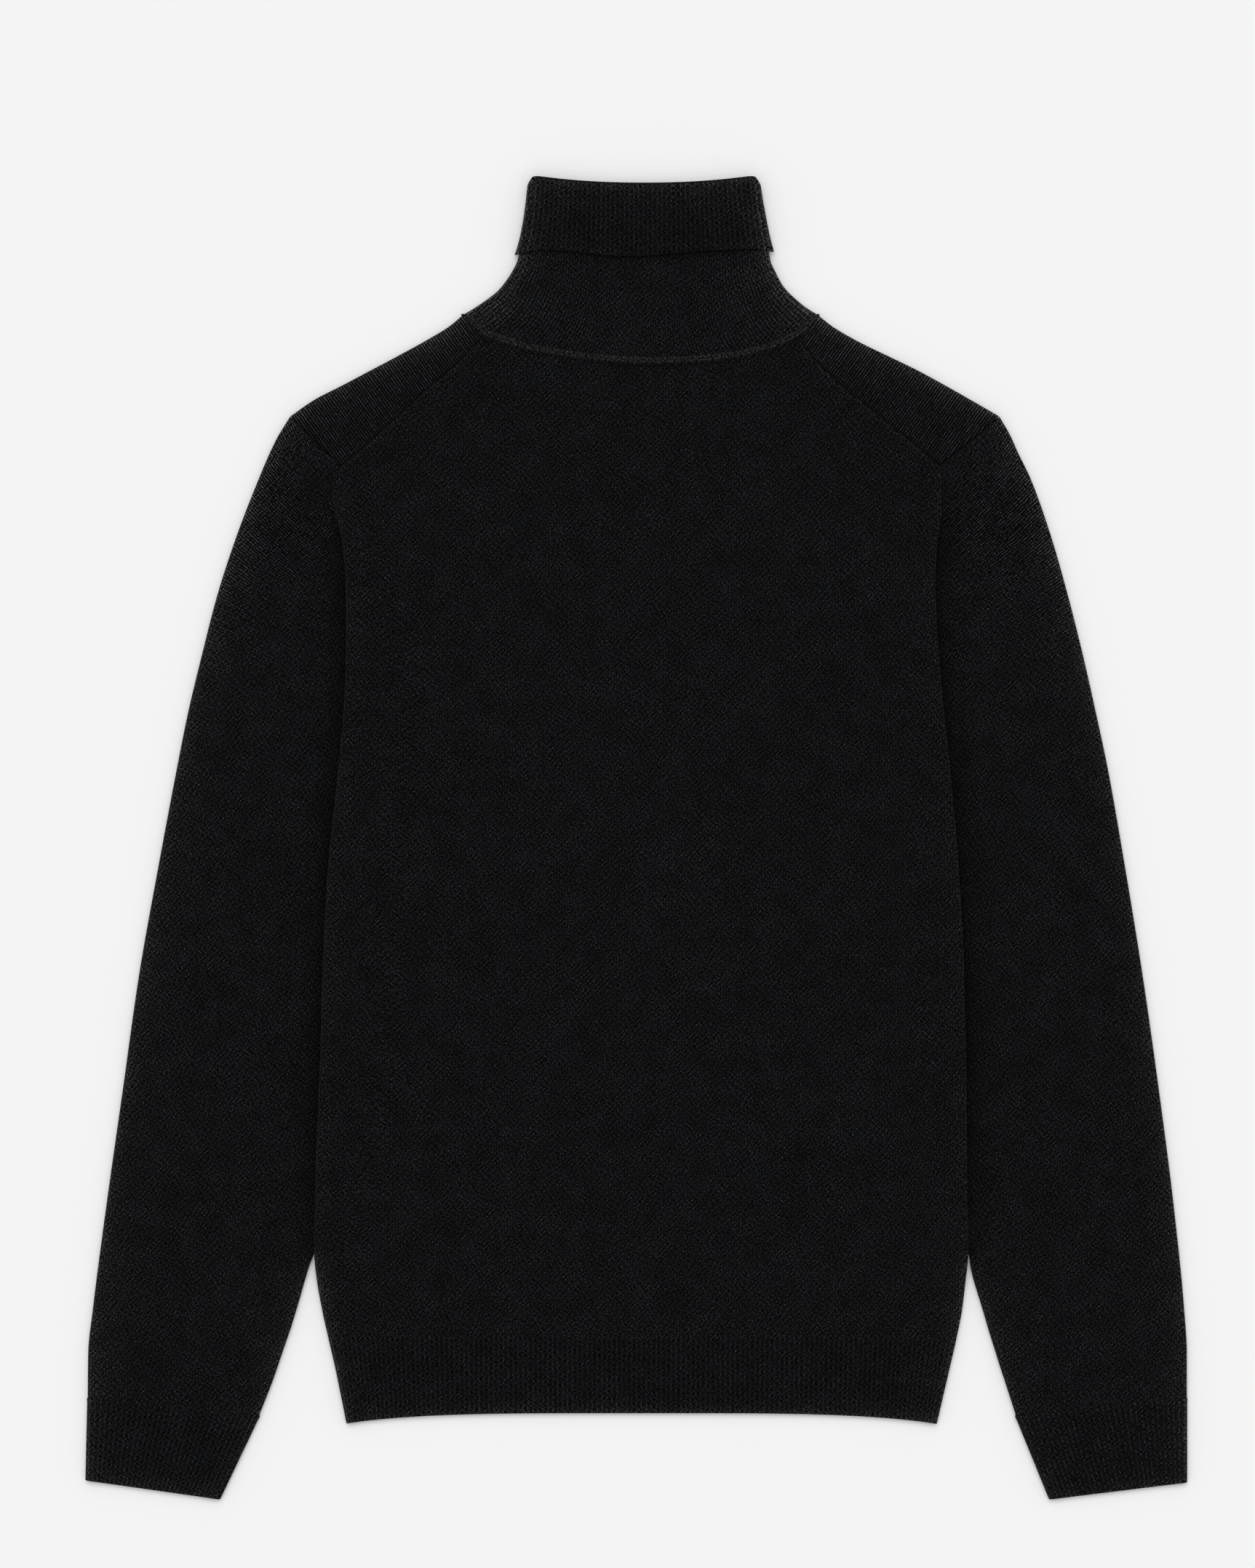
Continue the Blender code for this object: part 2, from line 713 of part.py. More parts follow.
def neck_line(layer):
    """The edge of the front and back panels round the neck hole, from left to right."""
    wraps = shoulder_wraps(BACK_NECK.x[[0, -1]])
    left = wraps["left"].outer[:, -1, :2]
    right = wraps["right"].outer[::-1, 0, :2]
    if layer == "front":
        neck = front_neckline()[1:-1]
        return np.concatenate([left[FOLD_STEPS::-1], neck, right[: -FOLD_STEPS - 2 : -1]])
    neck = np.stack([BACK_NECK.x, BACK_NECK.y], axis=-1)[1:-1]
    return np.concatenate([left[FOLD_STEPS:], neck, right[: -FOLD_STEPS or None]])


def base_curve(layer, shares):
    """The stand's lower edge: the linked seam at the back, the neckline at the front."""
    return spaced(moved(neck_line(layer), SEAM_GAP), shares)


def stand_row(layer, v, shares):
    """A row of the stand, seen from above, at v of the way from its seam to the top fold."""
    height = np.linspace(0, 1, FINE_ROWS)
    base = base_curve(layer, shares)
    left = point_on(STAND_SIDE, "left", mix(base[0, 1], COLLAR_TOP - ROLL, height))
    right = point_on(STAND_SIDE, "right", mix(base[-1, 1], COLLAR_TOP - ROLL, height))
    left[0], right[0] = base[0], base[-1]
    top_x = mix(left[-1, 0], right[-1, 0], shares)
    corner = np.abs(2 * shares - 1) ** COLLAR_CORNER_POWER
    top_y = mix(collar_top(top_x), COLLAR_TOP, corner) - ROLL
    plan = fill(base, np.stack([top_x, top_y], axis=-1), left, right, shares, height)
    at = v * (len(height) - 1)
    low = min(int(at), len(height) - 2)
    return mix(plan[low], plan[low + 1], at - low)


def turn_row(layer, w, shares):
    """A row of the turned-down layer at w of the way from the top fold to its free edge."""
    top = stand_row(layer, 1.0, shares)
    edge = smooth(top[:, 0] * TURN_SPREAD, TURN_EDGE.x, TURN_EDGE.y)
    height = mix(top[:, 1], edge, w)
    left = side_x(STAND_SIDE, "left", height)
    right = side_x(STAND_SIDE, "right", height)
    return np.stack([mix(left, right, shares), height], axis=-1)


def stand_level(height):
    """How far the stand is raised by the turned-down layer under it."""
    return STAND_RISE * step(height, *STAND_RAMP)


def collar_ring(row, out, rise, relief=0.0):
    """A ring of the collar: rows of both layers, moved out from the stand's outer face."""
    under = length_shares(moved(neck_line("front"), SEAM_GAP))[FOLD_STEPS:-FOLD_STEPS]
    fine = np.union1d(np.linspace(0, 1, FINE_POINTS), under)
    back, front = row("back", fine), row("front", fine)
    fold = FOLD_WIDTH + out
    points = []

    def place(line, at):
        return np.array([np.interp(at, fine, line[:, k]) for k in (0, 1)])

    def corner(line, end):
        tip = line[0] if end == 0 else line[-1]
        near = line[AHEAD] if end == 0 else line[-1 - AHEAD]
        inward = unit(near - tip)
        return tip - inward * out, inward

    def flat(line, shares, top):
        for number, share in enumerate(shares):
            x, y = place(line, share)
            level = stand_level(y)
            bump = 0.5 * relief * cos(pi * number) if top else 0.0
            z = level + FLAT + out + bump if top else level - out
            points.append([x, y + rise, z])

    def turn(line, end, angles):
        tip, inward = corner(line, end)
        level = stand_level(tip[1])
        middle = 0.5 * FLAT
        for angle in angles:
            x, y = tip + inward * fold * (1 - cos(angle))
            z = level + middle + (middle + out) * sin(angle)
            points.append([x, y + rise, z])

    inner_angles = np.linspace(pi / 2, -pi / 2, 2 * FOLD_STEPS + 1)[1:-1]
    inset = FOLD_WIDTH / np.linalg.norm(np.diff(back, axis=0), axis=1).sum()
    flat(back, np.linspace(inset, 1 - inset, 2 * COLLAR_RIBS + 1), top=True)
    turn(back, 1, inner_angles)
    flat(front, under[::-1], top=False)
    turn(back, 0, inner_angles[::-1])
    points.append(points[0])
    return points


def make_collar():
    """The stand, its top fold and the layer turned down over it, knitted as one tube."""
    outer, inner = [], []

    def add(row, out, back, rise_out=0.0, rise_back=0.0, relief=0.0, ribs_back=0.0):
        outer.append(collar_ring(row, out, rise_out, relief))
        inner.append(collar_ring(row, back, rise_back, ribs_back))

    for v in STAND_SHARES:
        add(lambda layer, s, v=v: stand_row(layer, v, s), 0.0, -WALL, relief=0.5 * RIB_RELIEF)
    half = 0.5 * TURN_GAP
    for angle in np.linspace(0, pi, 5):
        add(
            lambda layer, s: stand_row(layer, 1.0, s),
            half - half * cos(angle),
            half - ROLL * cos(angle),
            half * sin(angle),
            ROLL * sin(angle),
            ribs_back=RIB_RELIEF * step(angle, 0, pi),
        )
    add(lambda layer, s: turn_row(layer, 1.0, s), TURN_GAP, TURN_GAP + WALL, ribs_back=RIB_RELIEF)
    return make_wall("collar", RIB_BLACK, [Patch(np.array(outer), np.array(inner))])


# Raised linking round the back of the neck


def folded_end(tip, inward):
    """The linking goes round the side fold: points on the fold and their outward directions."""
    middle = 0.5 * (FLAT + FOLD_SWELL)
    points, normals = [], []
    for angle in (0.0, pi / 4, pi / 2):
        spot = tip + inward * FOLD_WIDTH * (1 - cos(angle))
        points.append([*spot, middle + middle * sin(angle)])
        normals.append([*(-inward * cos(angle)), sin(angle)])
    return np.array(points), np.array(normals)


def neck_seam_path():
    """The line of the linking over both neck edges, with its outward direction at each point."""
    line = spaced(moved(neck_line("back"), 0.5 * SEAM_GAP), np.linspace(0, 1, BAND_POINTS))
    start, start_out = folded_end(line[0], unit(line[1] - line[0]))
    end, end_out = folded_end(line[-1], unit(line[-2] - line[-1]))
    flat = line[1:-1]
    away = np.linalg.norm(flat[:, None] - line[[0, -1]][None], axis=-1).min(axis=1)
    swell = FOLD_SWELL * (1 - step(away, FOLD_WIDTH, SWELL_REACH))
    level = FLAT + swell + np.array([stand_level(y) for y in flat[:, 1]])
    up = np.broadcast_to([0.0, 0.0, 1.0], (len(flat), 3))
    points = np.concatenate([start, with_height(flat, level), end[::-1]])
    return points, np.concatenate([start_out, up, end_out[::-1]])


def make_neck_seam():
    """The raised chain of linking, a rounded strip that follows the neck from fold to fold."""
    points, normals = neck_seam_path()
    sideways = unit(np.cross(normals, np.gradient(points, axis=0)))
    ends = np.array(BAND_END_WIDTHS)
    width = np.concatenate([ends, np.full(len(points) - 2 * len(ends), BAND_WIDTH), ends[::-1]])
    rows, under = [], []
    for across, up in zip(BAND_PROFILE.x, BAND_PROFILE.y):
        base = points + sideways * across * width[:, None] + normals * BAND_CLEAR
        under.append(base)
        rows.append(base + normals * up * BAND_HEIGHT)
    return make_wall("neck_seam", RIB_BLACK, [Patch(np.array(rows), np.array(under))])


def main():
    """Clear the scene and make the sweater."""
    for thing in list(bpy.data.objects):
        bpy.data.objects.remove(thing)
    make_back()
    make_front()
    for side in ("left", "right"):
        make_sleeve(side)
        make_cuff(side)
    for layer in ("back", "front"):
        make_hem(layer)
    make_collar()
    make_neck_seam()


main()
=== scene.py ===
"""Looks of a black turtleneck sweater in fine wool knit, laid flat on its front with its back up.

Each piece that a knitter makes is a class: the back panel, the front panel whose shoulders wrap over
to the back, the sleeves, the cuffs, the hem band, the collar and the chain of linking round the neck.
Its shapes are closed walls of cloth with real ribs, rolled seams and soft creases, and a knit map
that counts wales and courses, from which the materials draw the stitches. Shapes are worked out in
millimetres and turned to metres when a mesh is made. X runs across the garment, Y from hem to
collar, Z up from the floor.
"""

from __future__ import annotations

import logging
import math
from dataclasses import dataclass
from enum import Enum

import bpy
import numpy as np
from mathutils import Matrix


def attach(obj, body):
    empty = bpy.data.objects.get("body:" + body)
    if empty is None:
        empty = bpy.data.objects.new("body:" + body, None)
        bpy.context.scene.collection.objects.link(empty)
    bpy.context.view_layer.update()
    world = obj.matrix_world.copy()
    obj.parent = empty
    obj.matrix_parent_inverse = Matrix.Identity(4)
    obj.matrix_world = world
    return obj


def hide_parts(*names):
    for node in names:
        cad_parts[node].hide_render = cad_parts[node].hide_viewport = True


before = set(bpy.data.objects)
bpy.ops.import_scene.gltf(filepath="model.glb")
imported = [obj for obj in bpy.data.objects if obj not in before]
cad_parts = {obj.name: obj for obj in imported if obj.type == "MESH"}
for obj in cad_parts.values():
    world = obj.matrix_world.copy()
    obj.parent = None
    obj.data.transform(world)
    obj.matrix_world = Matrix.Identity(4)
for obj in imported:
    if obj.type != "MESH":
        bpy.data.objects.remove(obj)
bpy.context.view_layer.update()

log = logging.getLogger("sweater")
Array = np.ndarray
Table = tuple[tuple[float, float], ...]
# The middle line of each length of yarn, the yarn's radius along it and its painted light and shade
Yarns = tuple[list[Array], list[Array], list[Array | float]]
Node, NodeTree, Socket = bpy.types.Node, bpy.types.NodeTree, bpy.types.NodeSocket
Object, Material = bpy.types.Object, bpy.types.Material

MM = 0.001
BODY = "root"


class Side(Enum):
    """A side of the garment, as seen from above."""

    LEFT = "left"
    RIGHT = "right"

    @property
    def inward(self) -> int:
        """The direction along X from this side towards the middle."""
        return 1 if self is Side.LEFT else -1


class Layer(Enum):
    """A layer of the flattened body."""

    BACK = "back"
    FRONT = "front"


class Slot(Enum):
    """The record's material slots."""

    JERSEY = "jersey"
    RIB = "rib"
    LINKING = "linking"


# Curves and fields


def smooth(at: Array, knots: Array, values: Array) -> Array:
    """Read a table as a smooth curve that never overshoots its values.

    Args:
        at: Where to read it.
        knots: The table's rising places.
        values: Its value at each place.

    Returns:
        The value at each place asked for.
    """
    rise = np.diff(values) / np.diff(knots)
    together = rise[:-1] * rise[1:] > 0
    total = np.where(together, rise[:-1] + rise[1:], 1.0)
    inside = np.where(together, 2 * rise[:-1] * rise[1:] / total, 0.0)
    slope = np.concatenate([rise[:1], inside, rise[-1:]])
    at = np.clip(np.asarray(at, float), knots[0], knots[-1])
    i = np.clip(np.searchsorted(knots, at) - 1, 0, len(knots) - 2)
    span = knots[i + 1] - knots[i]
    t = (at - knots[i]) / span
    start = (1 + 2 * t) * values[i] + t * span * slope[i]
    end = (3 - 2 * t) * values[i + 1] - (1 - t) * span * slope[i + 1]
    return (1 - t) ** 2 * start + t**2 * end


def step(at: Array, low: float, high: float) -> Array:
    """Rise smoothly from 0 at low to 1 at high."""
    t = np.clip((np.asarray(at, float) - low) / (high - low), 0, 1)
    return t * t * (3 - 2 * t)


def mix(a: Array, b: Array, share: Array) -> Array:
    """A value a share of the way from a to b."""
    return a + (b - a) * share


def bell(away: Array, width: float) -> Array:
    """A smooth bump of height one that fades over a width to each side."""
    return np.exp(-((away / width) ** 2))


def unit(vectors: Array) -> Array:
    """Vectors of length one in the same directions."""
    return vectors / np.linalg.norm(vectors, axis=-1, keepdims=True)


def with_height(plan: Array, height: Array) -> Array:
    """Add heights above the floor to points seen from above."""
    return np.concatenate([plan, np.broadcast_to(height, plan.shape[:-1])[..., None]], axis=-1)


def travelled(points: Array) -> Array:
    """The length along a curve at each of its points."""
    return np.concatenate([[0.0], np.cumsum(np.linalg.norm(np.diff(points, axis=0), axis=1))])


def spaced(points: Array, shares: Array) -> Array:
    """Points of a curve at shares of its length."""
    along = travelled(points)
    return np.stack([np.interp(shares * along[-1], along, axis) for axis in points.T], axis=-1)


def moved(points: Array, distance: float) -> Array:
    """Move a curve sideways, to the left of its direction, with mitred corners.

    Args:
        points: The curve, seen from above.
        distance: How far to move it.

    Returns:
        The moved curve's points.
    """
    along = unit(np.diff(points, axis=0))
    normal = np.stack([-along[:, 1], along[:, 0]], axis=-1)
    before = np.concatenate([normal[:1], normal])
    after = np.concatenate([normal, normal[-1:]])
    opening = 1 + np.sum(before * after, axis=-1, keepdims=True)
    return points + distance * (before + after) / opening


def filled(bottom: Array, top: Array, left: Array, right: Array, u: Array, v: Array) -> Array:
    """Fill a four-sided outline with a grid of points.

    Args:
        bottom: The points of its first row.
        top: The points of its last row.
        left: The points of its first column.
        right: The points of its last column.
        u: The share across at which each column lies.
        v: The share up at which each row lies.

    Returns:
        The grid's points, by row and column.
    """
    u = u[None, :, None]
    v = v[:, None, None]
    across = (1 - v) * bottom[None] + v * top[None]
    along = (1 - u) * left[:, None] + u * right[:, None]
    low = (1 - u) * bottom[0] + u * bottom[-1]
    high = (1 - u) * top[0] + u * top[-1]
    return across + along - (1 - v) * low - v * high


def close_steps(first: float, last: float, count: int, power: float = 1.6) -> Array:
    """Places from first to last that crowd together at first, without last itself."""
    return first + (last - first) * (np.arange(count) / count) ** power


@dataclass(frozen=True)
class Outline:
    """The left and right edge of a piece at different heights, in rows of (height, left, right)."""

    rows: tuple[tuple[float, float, float], ...]

    def points(self, side: Side) -> Array:
        """The points of a side in the table, the lowest first."""
        return np.array(sorted(self.rows))[:, [1 if side is Side.LEFT else 2, 0]]

    def x(self, side: Side, height: Array) -> Array:
        """Where a side is at a height."""
        places, heights = self.points(side).T
        return smooth(height, heights, places)

    def point(self, side: Side, height: Array) -> Array:
        """A point of a side, seen from above."""
        height = np.asarray(height, float)
        return np.stack([self.x(side, height), height], axis=-1)

    def end(self, side: Side) -> Array:
        """The side's highest point."""
        return self.points(side)[-1]


@dataclass(frozen=True)
class Line:
    """A curve that runs from left to right or up, in rows of (place, value)."""

    rows: Table

    def at(self, place: Array) -> Array:
        """The curve's value at a place."""
        table = np.array(self.rows).T
        return smooth(place, table[0], table[1])

    @property
    def places(self) -> Array:
        """The places in the table."""
        return np.array(self.rows)[:, 0]


# The sweater's sizes as it lies


@dataclass(frozen=True)
class Cloth:
    """Thicknesses of the knit and of what is folded from it, in millimetres."""

    wall: float = 1.5
    between: float = 0.4
    fold_width: float = 2.2
    fold_swell: float = 0.5
    swell_reach: float = 14.0
    side_gap: float = 0.15
    seam: float = 0.16
    fold_opens: tuple[float, float] = (200.0, 225.0)

    @property
    def flat(self) -> float:
        """Two layers that lie on each other."""
        return 2 * self.wall + self.between

    @property
    def middle(self) -> float:
        """Half the height of a fold."""
        return 0.5 * (self.flat + self.fold_swell)

    def swell(self, away: Array) -> Array:
        """How much higher the cloth stands at a distance from its fold."""
        return self.fold_swell * (1 - step(away, self.fold_width, self.swell_reach))


@dataclass(frozen=True)
class Gauge:
    """Sizes of the stitches, in millimetres."""

    wale: float = 1.65
    course: float = 1.9
    rib: float = 2.9
    rib_course: float = 2.0
    rib_relief: float = 0.62


CLOTH = Cloth()
GAUGE = Gauge()

BODY_SIDE = Outline((
    (225.0, -178.5, 183.5),
    (218.0, -184.0, 185.0),
    (204.5, -183.5, 185.0),
    (181.5, -178.0, 182.0),
    (155.0, -175.5, 180.5),
    (128.5, -175.0, 181.5),
    (89.0, -176.0, 184.5),
    (36.0, -180.5, 190.0),
    (-16.5, -186.0, 194.5),
    (-69.5, -189.0, 197.5),
    (-135.5, -191.0, 199.0),
    (-215.0, -194.0, 200.0),
    (-250.5, -194.5, 200.5),
    (-267.5, -193.0, 199.0),
    (-285.0, -190.0, 197.0),
    (-303.0, -186.0, 193.5),
    (-320.5, -182.0, 189.5),
    (-355.0, -175.0, 181.5),
))
# How far the sleeve's inner edge is under the body's side; below zero it lies beside it
TUCK = Outline((
    (225.0, -0.2, -0.2),
    (172.0, -0.3, -0.3),
    (150.0, 5.0, 5.0),
    (105.0, 18.0, 18.0),
    (50.0, 22.0, 22.0),
    (-150.0, 22.0, 22.0),
    (-215.0, 10.0, 10.0),
    (-252.0, -0.6, -0.6),
    (-258.5, -3.5, -1.9),
    (-276.5, -11.2, -8.6),
    (-294.0, -20.0, -16.5),
    (-311.5, -30.0, -25.7),
    (-329.0, -39.8, -35.4),
    (-348.5, -51.4, -46.2),
))
SLEEVE_OUTER = Outline((
    (254.8, -209.2, 219.5),
    (243.0, -216.5, 226.3),
    (234.0, -221.0, 230.3),
    (216.5, -228.5, 238.7),
    (181.5, -242.0, 251.0),
    (146.0, -253.5, 261.1),
    (111.0, -262.5, 269.9),
    (75.5, -271.0, 277.9),
    (40.5, -278.0, 285.3),
    (-12.5, -288.0, 294.6),
    (-82.5, -300.5, 306.0),
    (-153.0, -310.5, 316.0),
    (-223.5, -320.5, 325.0),
    (-285.0, -328.5, 331.2),
    (-311.5, -331.3, 332.8),
    (-338.0, -331.6, 332.8),
))
# The slant of a sleeve's courses: how much lower the inner edge of a row is, by outer height
SLEEVE_DROP = Line((
    (-338.0, 11.0),
    (-285.0, 14.0),
    (-150.0, 22.0),
    (-12.0, 24.0),
    (111.0, 20.0),
    (181.0, 14.0),
    (216.5, 16.0),
    (234.0, 20.0),
    (254.8, 30.0),
))
SHOULDER = Outline((
    (316.0, -105.0, 110.0),
    (309.0, -113.5, 119.0),
    (300.0, -128.5, 134.5),
    (291.5, -144.0, 152.0),
    (282.5, -161.0, 170.5),
    (273.5, -178.0, 187.0),
    (265.0, -194.5, 202.0),
    (255.0, -209.0, 219.3),
))
# Seam between the back panel and the front panel's shoulders
SADDLE = Outline((
    (225.0, -178.5, 183.5),
    (241.0, -159.5, 164.5),
    (256.0, -143.0, 146.0),
    (270.5, -127.5, 128.0),
    (284.5, -111.0, 112.5),
    (296.5, -98.5, 102.0),
    (305.0, -91.0, 98.0),
))
NECK_CORNER = {Side.LEFT: (-98.0, 311.5), Side.RIGHT: (104.0, 310.5)}
BACK_NECK = Line((
    (-91.0, 305.0),
    (-81.0, 301.5),
    (-65.0, 297.0),
    (-46.0, 293.5),
    (-19.5, 290.0),
    (4.5, 288.6),
    (29.0, 289.1),
    (55.0, 291.5),
    (79.5, 297.0),
    (98.0, 305.0),
))
STAND_SIDE = Outline((
    (316.0, -105.0, 110.0),
    (322.0, -95.5, 101.0),
    (326.5, -89.0, 95.7),
    (331.0, -83.5, 91.0),
    (335.5, -79.7, 87.6),
    (340.0, -76.5, 85.2),
    (344.0, -74.2, 83.2),
    (348.5, -72.0, 81.2),
    (357.0, -69.8, 79.8),
    (375.0, -67.0, 77.1),
    (392.5, -65.2, 74.6),
    (400.0, -64.7, 74.0),
))
TURN_EDGE = Line((
    (-73.0, 352.0),
    (-59.0, 355.3),
    (-46.0, 355.0),
    (-30.0, 353.3),
    (-6.5, 351.6),
    (7.0, 352.0),
    (20.0, 353.0),
    (40.0, 354.6),
    (60.0, 355.5),
    (73.0, 356.0),
    (82.0, 354.2),
))
# End of each cuff, seen from above: outer and inner corner
CUFF_END = {
    Side.LEFT: ((-332.8, -388.5), (-251.7, -400.0)),
    Side.RIGHT: ((332.8, -389.8), (249.7, -400.0)),
}
# How much painted highlight lightens the fold of each sleeve, right at it and further in
SLEEVE_RIM = {Side.LEFT: (3.4, 1.25), Side.RIGHT: (3.1, 0.9)}
HEM_SEAM = -301.0
YOKE = 225.0  # the corner where armhole and shoulder seams meet
FAN_START = 181.0  # the back's rows rise towards the shoulders from here
BODY_MIDDLE = 2.5
SLEEVE_ENDS = (254.8, -338.0)


# Soft creases


@dataclass(frozen=True)
class Crease:
    """A soft ridge or trough: a line, its half width and its height."""

    start: tuple[float, float]
    end: tuple[float, float]
    width: float
    height: float

    def rise(self, x: Array, y: Array) -> Array:
        """How much it raises the cloth at points seen from above."""
        start = np.array(self.start)
        along = np.array(self.end) - start
        place = np.stack([x, y], axis=-1) - start
        share = np.clip(place @ along / (along @ along), 0, 1)
        away = np.linalg.norm(place - share[..., None] * along, axis=-1)
        ends = np.sin(math.pi * np.clip(share, 0.04, 0.96)) ** 0.6
        return self.height * ends * bell(away, self.width)


@dataclass(frozen=True)
class Unevenness:
    """Slow waves that a smoothing hand leaves in cloth, in rows of (angle, length, shift, height)."""

    waves: tuple[tuple[float, float, float, float], ...] = (
        (12.0, 151.0, 0.3, 0.16),
        (71.0, 97.0, 1.9, 0.13),
        (128.0, 63.0, 4.1, 0.09),
        (38.0, 41.0, 2.6, 0.05),
        (101.0, 29.0, 5.2, 0.035),
    )
    creases: tuple[Crease, ...] = ()

    def rise(self, x: Array, y: Array) -> Array:
        """How much the cloth stands up at points seen from above, never below its lowest level."""
        total = np.zeros(np.shape(x))
        for angle, length, shift, height in self.waves:
            turn = math.radians(angle)
            phase = 2 * math.pi * (x * math.cos(turn) + y * math.sin(turn)) / length + shift
            total = total + height * (1 + np.sin(phase))
        for crease in self.creases:
            total = total + crease.rise(x, y)
        return np.maximum(total, 0.0)


def seam_roll(away: Array) -> Array:
    """The cloth's edge dips into a seam and rises into a low welt beside it.

    Args:
        away: Distance from the seam.

    Returns:
        The change in height.
    """
    dip, dip_width = 0.55, 0.75
    welt, welt_place, welt_width = 0.16, 2.1, 0.95
    return welt * bell(away - welt_place, welt_width) - dip * bell(away, dip_width)


def raised_nap(away: Array, edge: float, wide: float) -> Array:
    """How much a painted highlight lightens a folded or open edge, where fine fibres catch light.

    Args:
        away: Distance from the edge.
        edge: The gain right at the edge.
        wide: The gain that reaches further in.

    Returns:
        The painted highlight.
    """
    away = np.abs(away)
    return edge * np.exp(-away / 2.2) + wide * np.exp(-away / 8.0)


# Walls of cloth


@dataclass
class Patch:
    """A stretch of cloth as grids of points by row and column.

    Attributes:
        outer: Points of the face that shows.
        inner: Points of the hidden face.
        knit: Wales and courses counted at each point.
        nap: Painted light and shade in the colour: above zero a painted highlight, below zero a
        painted shadow, as inside a crease.
        pull: Above zero the cloth is pulled along its wales, which then stand out, and below zero
            its courses do.
    """

    outer: Array
    inner: Array
    knit: Array
    nap: Array
    pull: Array | float = 0.0


def knitted(name: str, points: Array, faces: list, maps: Array, **marks: Array) -> Object:
    """Make a mesh that carries its knit map and what its points are marked with.

    Args:
        name: The object's name.
        points: Its points, in millimetres.
        faces: The numbers of each face's corners.
        maps: The knit map at each corner of each face.
        **marks: A value for each point, by the name under which the materials read it.

    Returns:
        The new object.
    """
    mesh = bpy.data.meshes.new(name)
    mesh.from_pydata((points * MM).tolist(), [], faces)
    mesh.uv_layers.new(name="knit").uv.foreach_set("vector", maps.astype(np.float32).ravel())
    for mark, values in marks.items():
        mesh.attributes.new(mark, "FLOAT", "POINT").data.foreach_set("value", values.astype(np.float32))
    mesh.shade_smooth()
    thing = bpy.data.objects.new(name, mesh)
    bpy.context.scene.collection.objects.link(thing)
    return thing


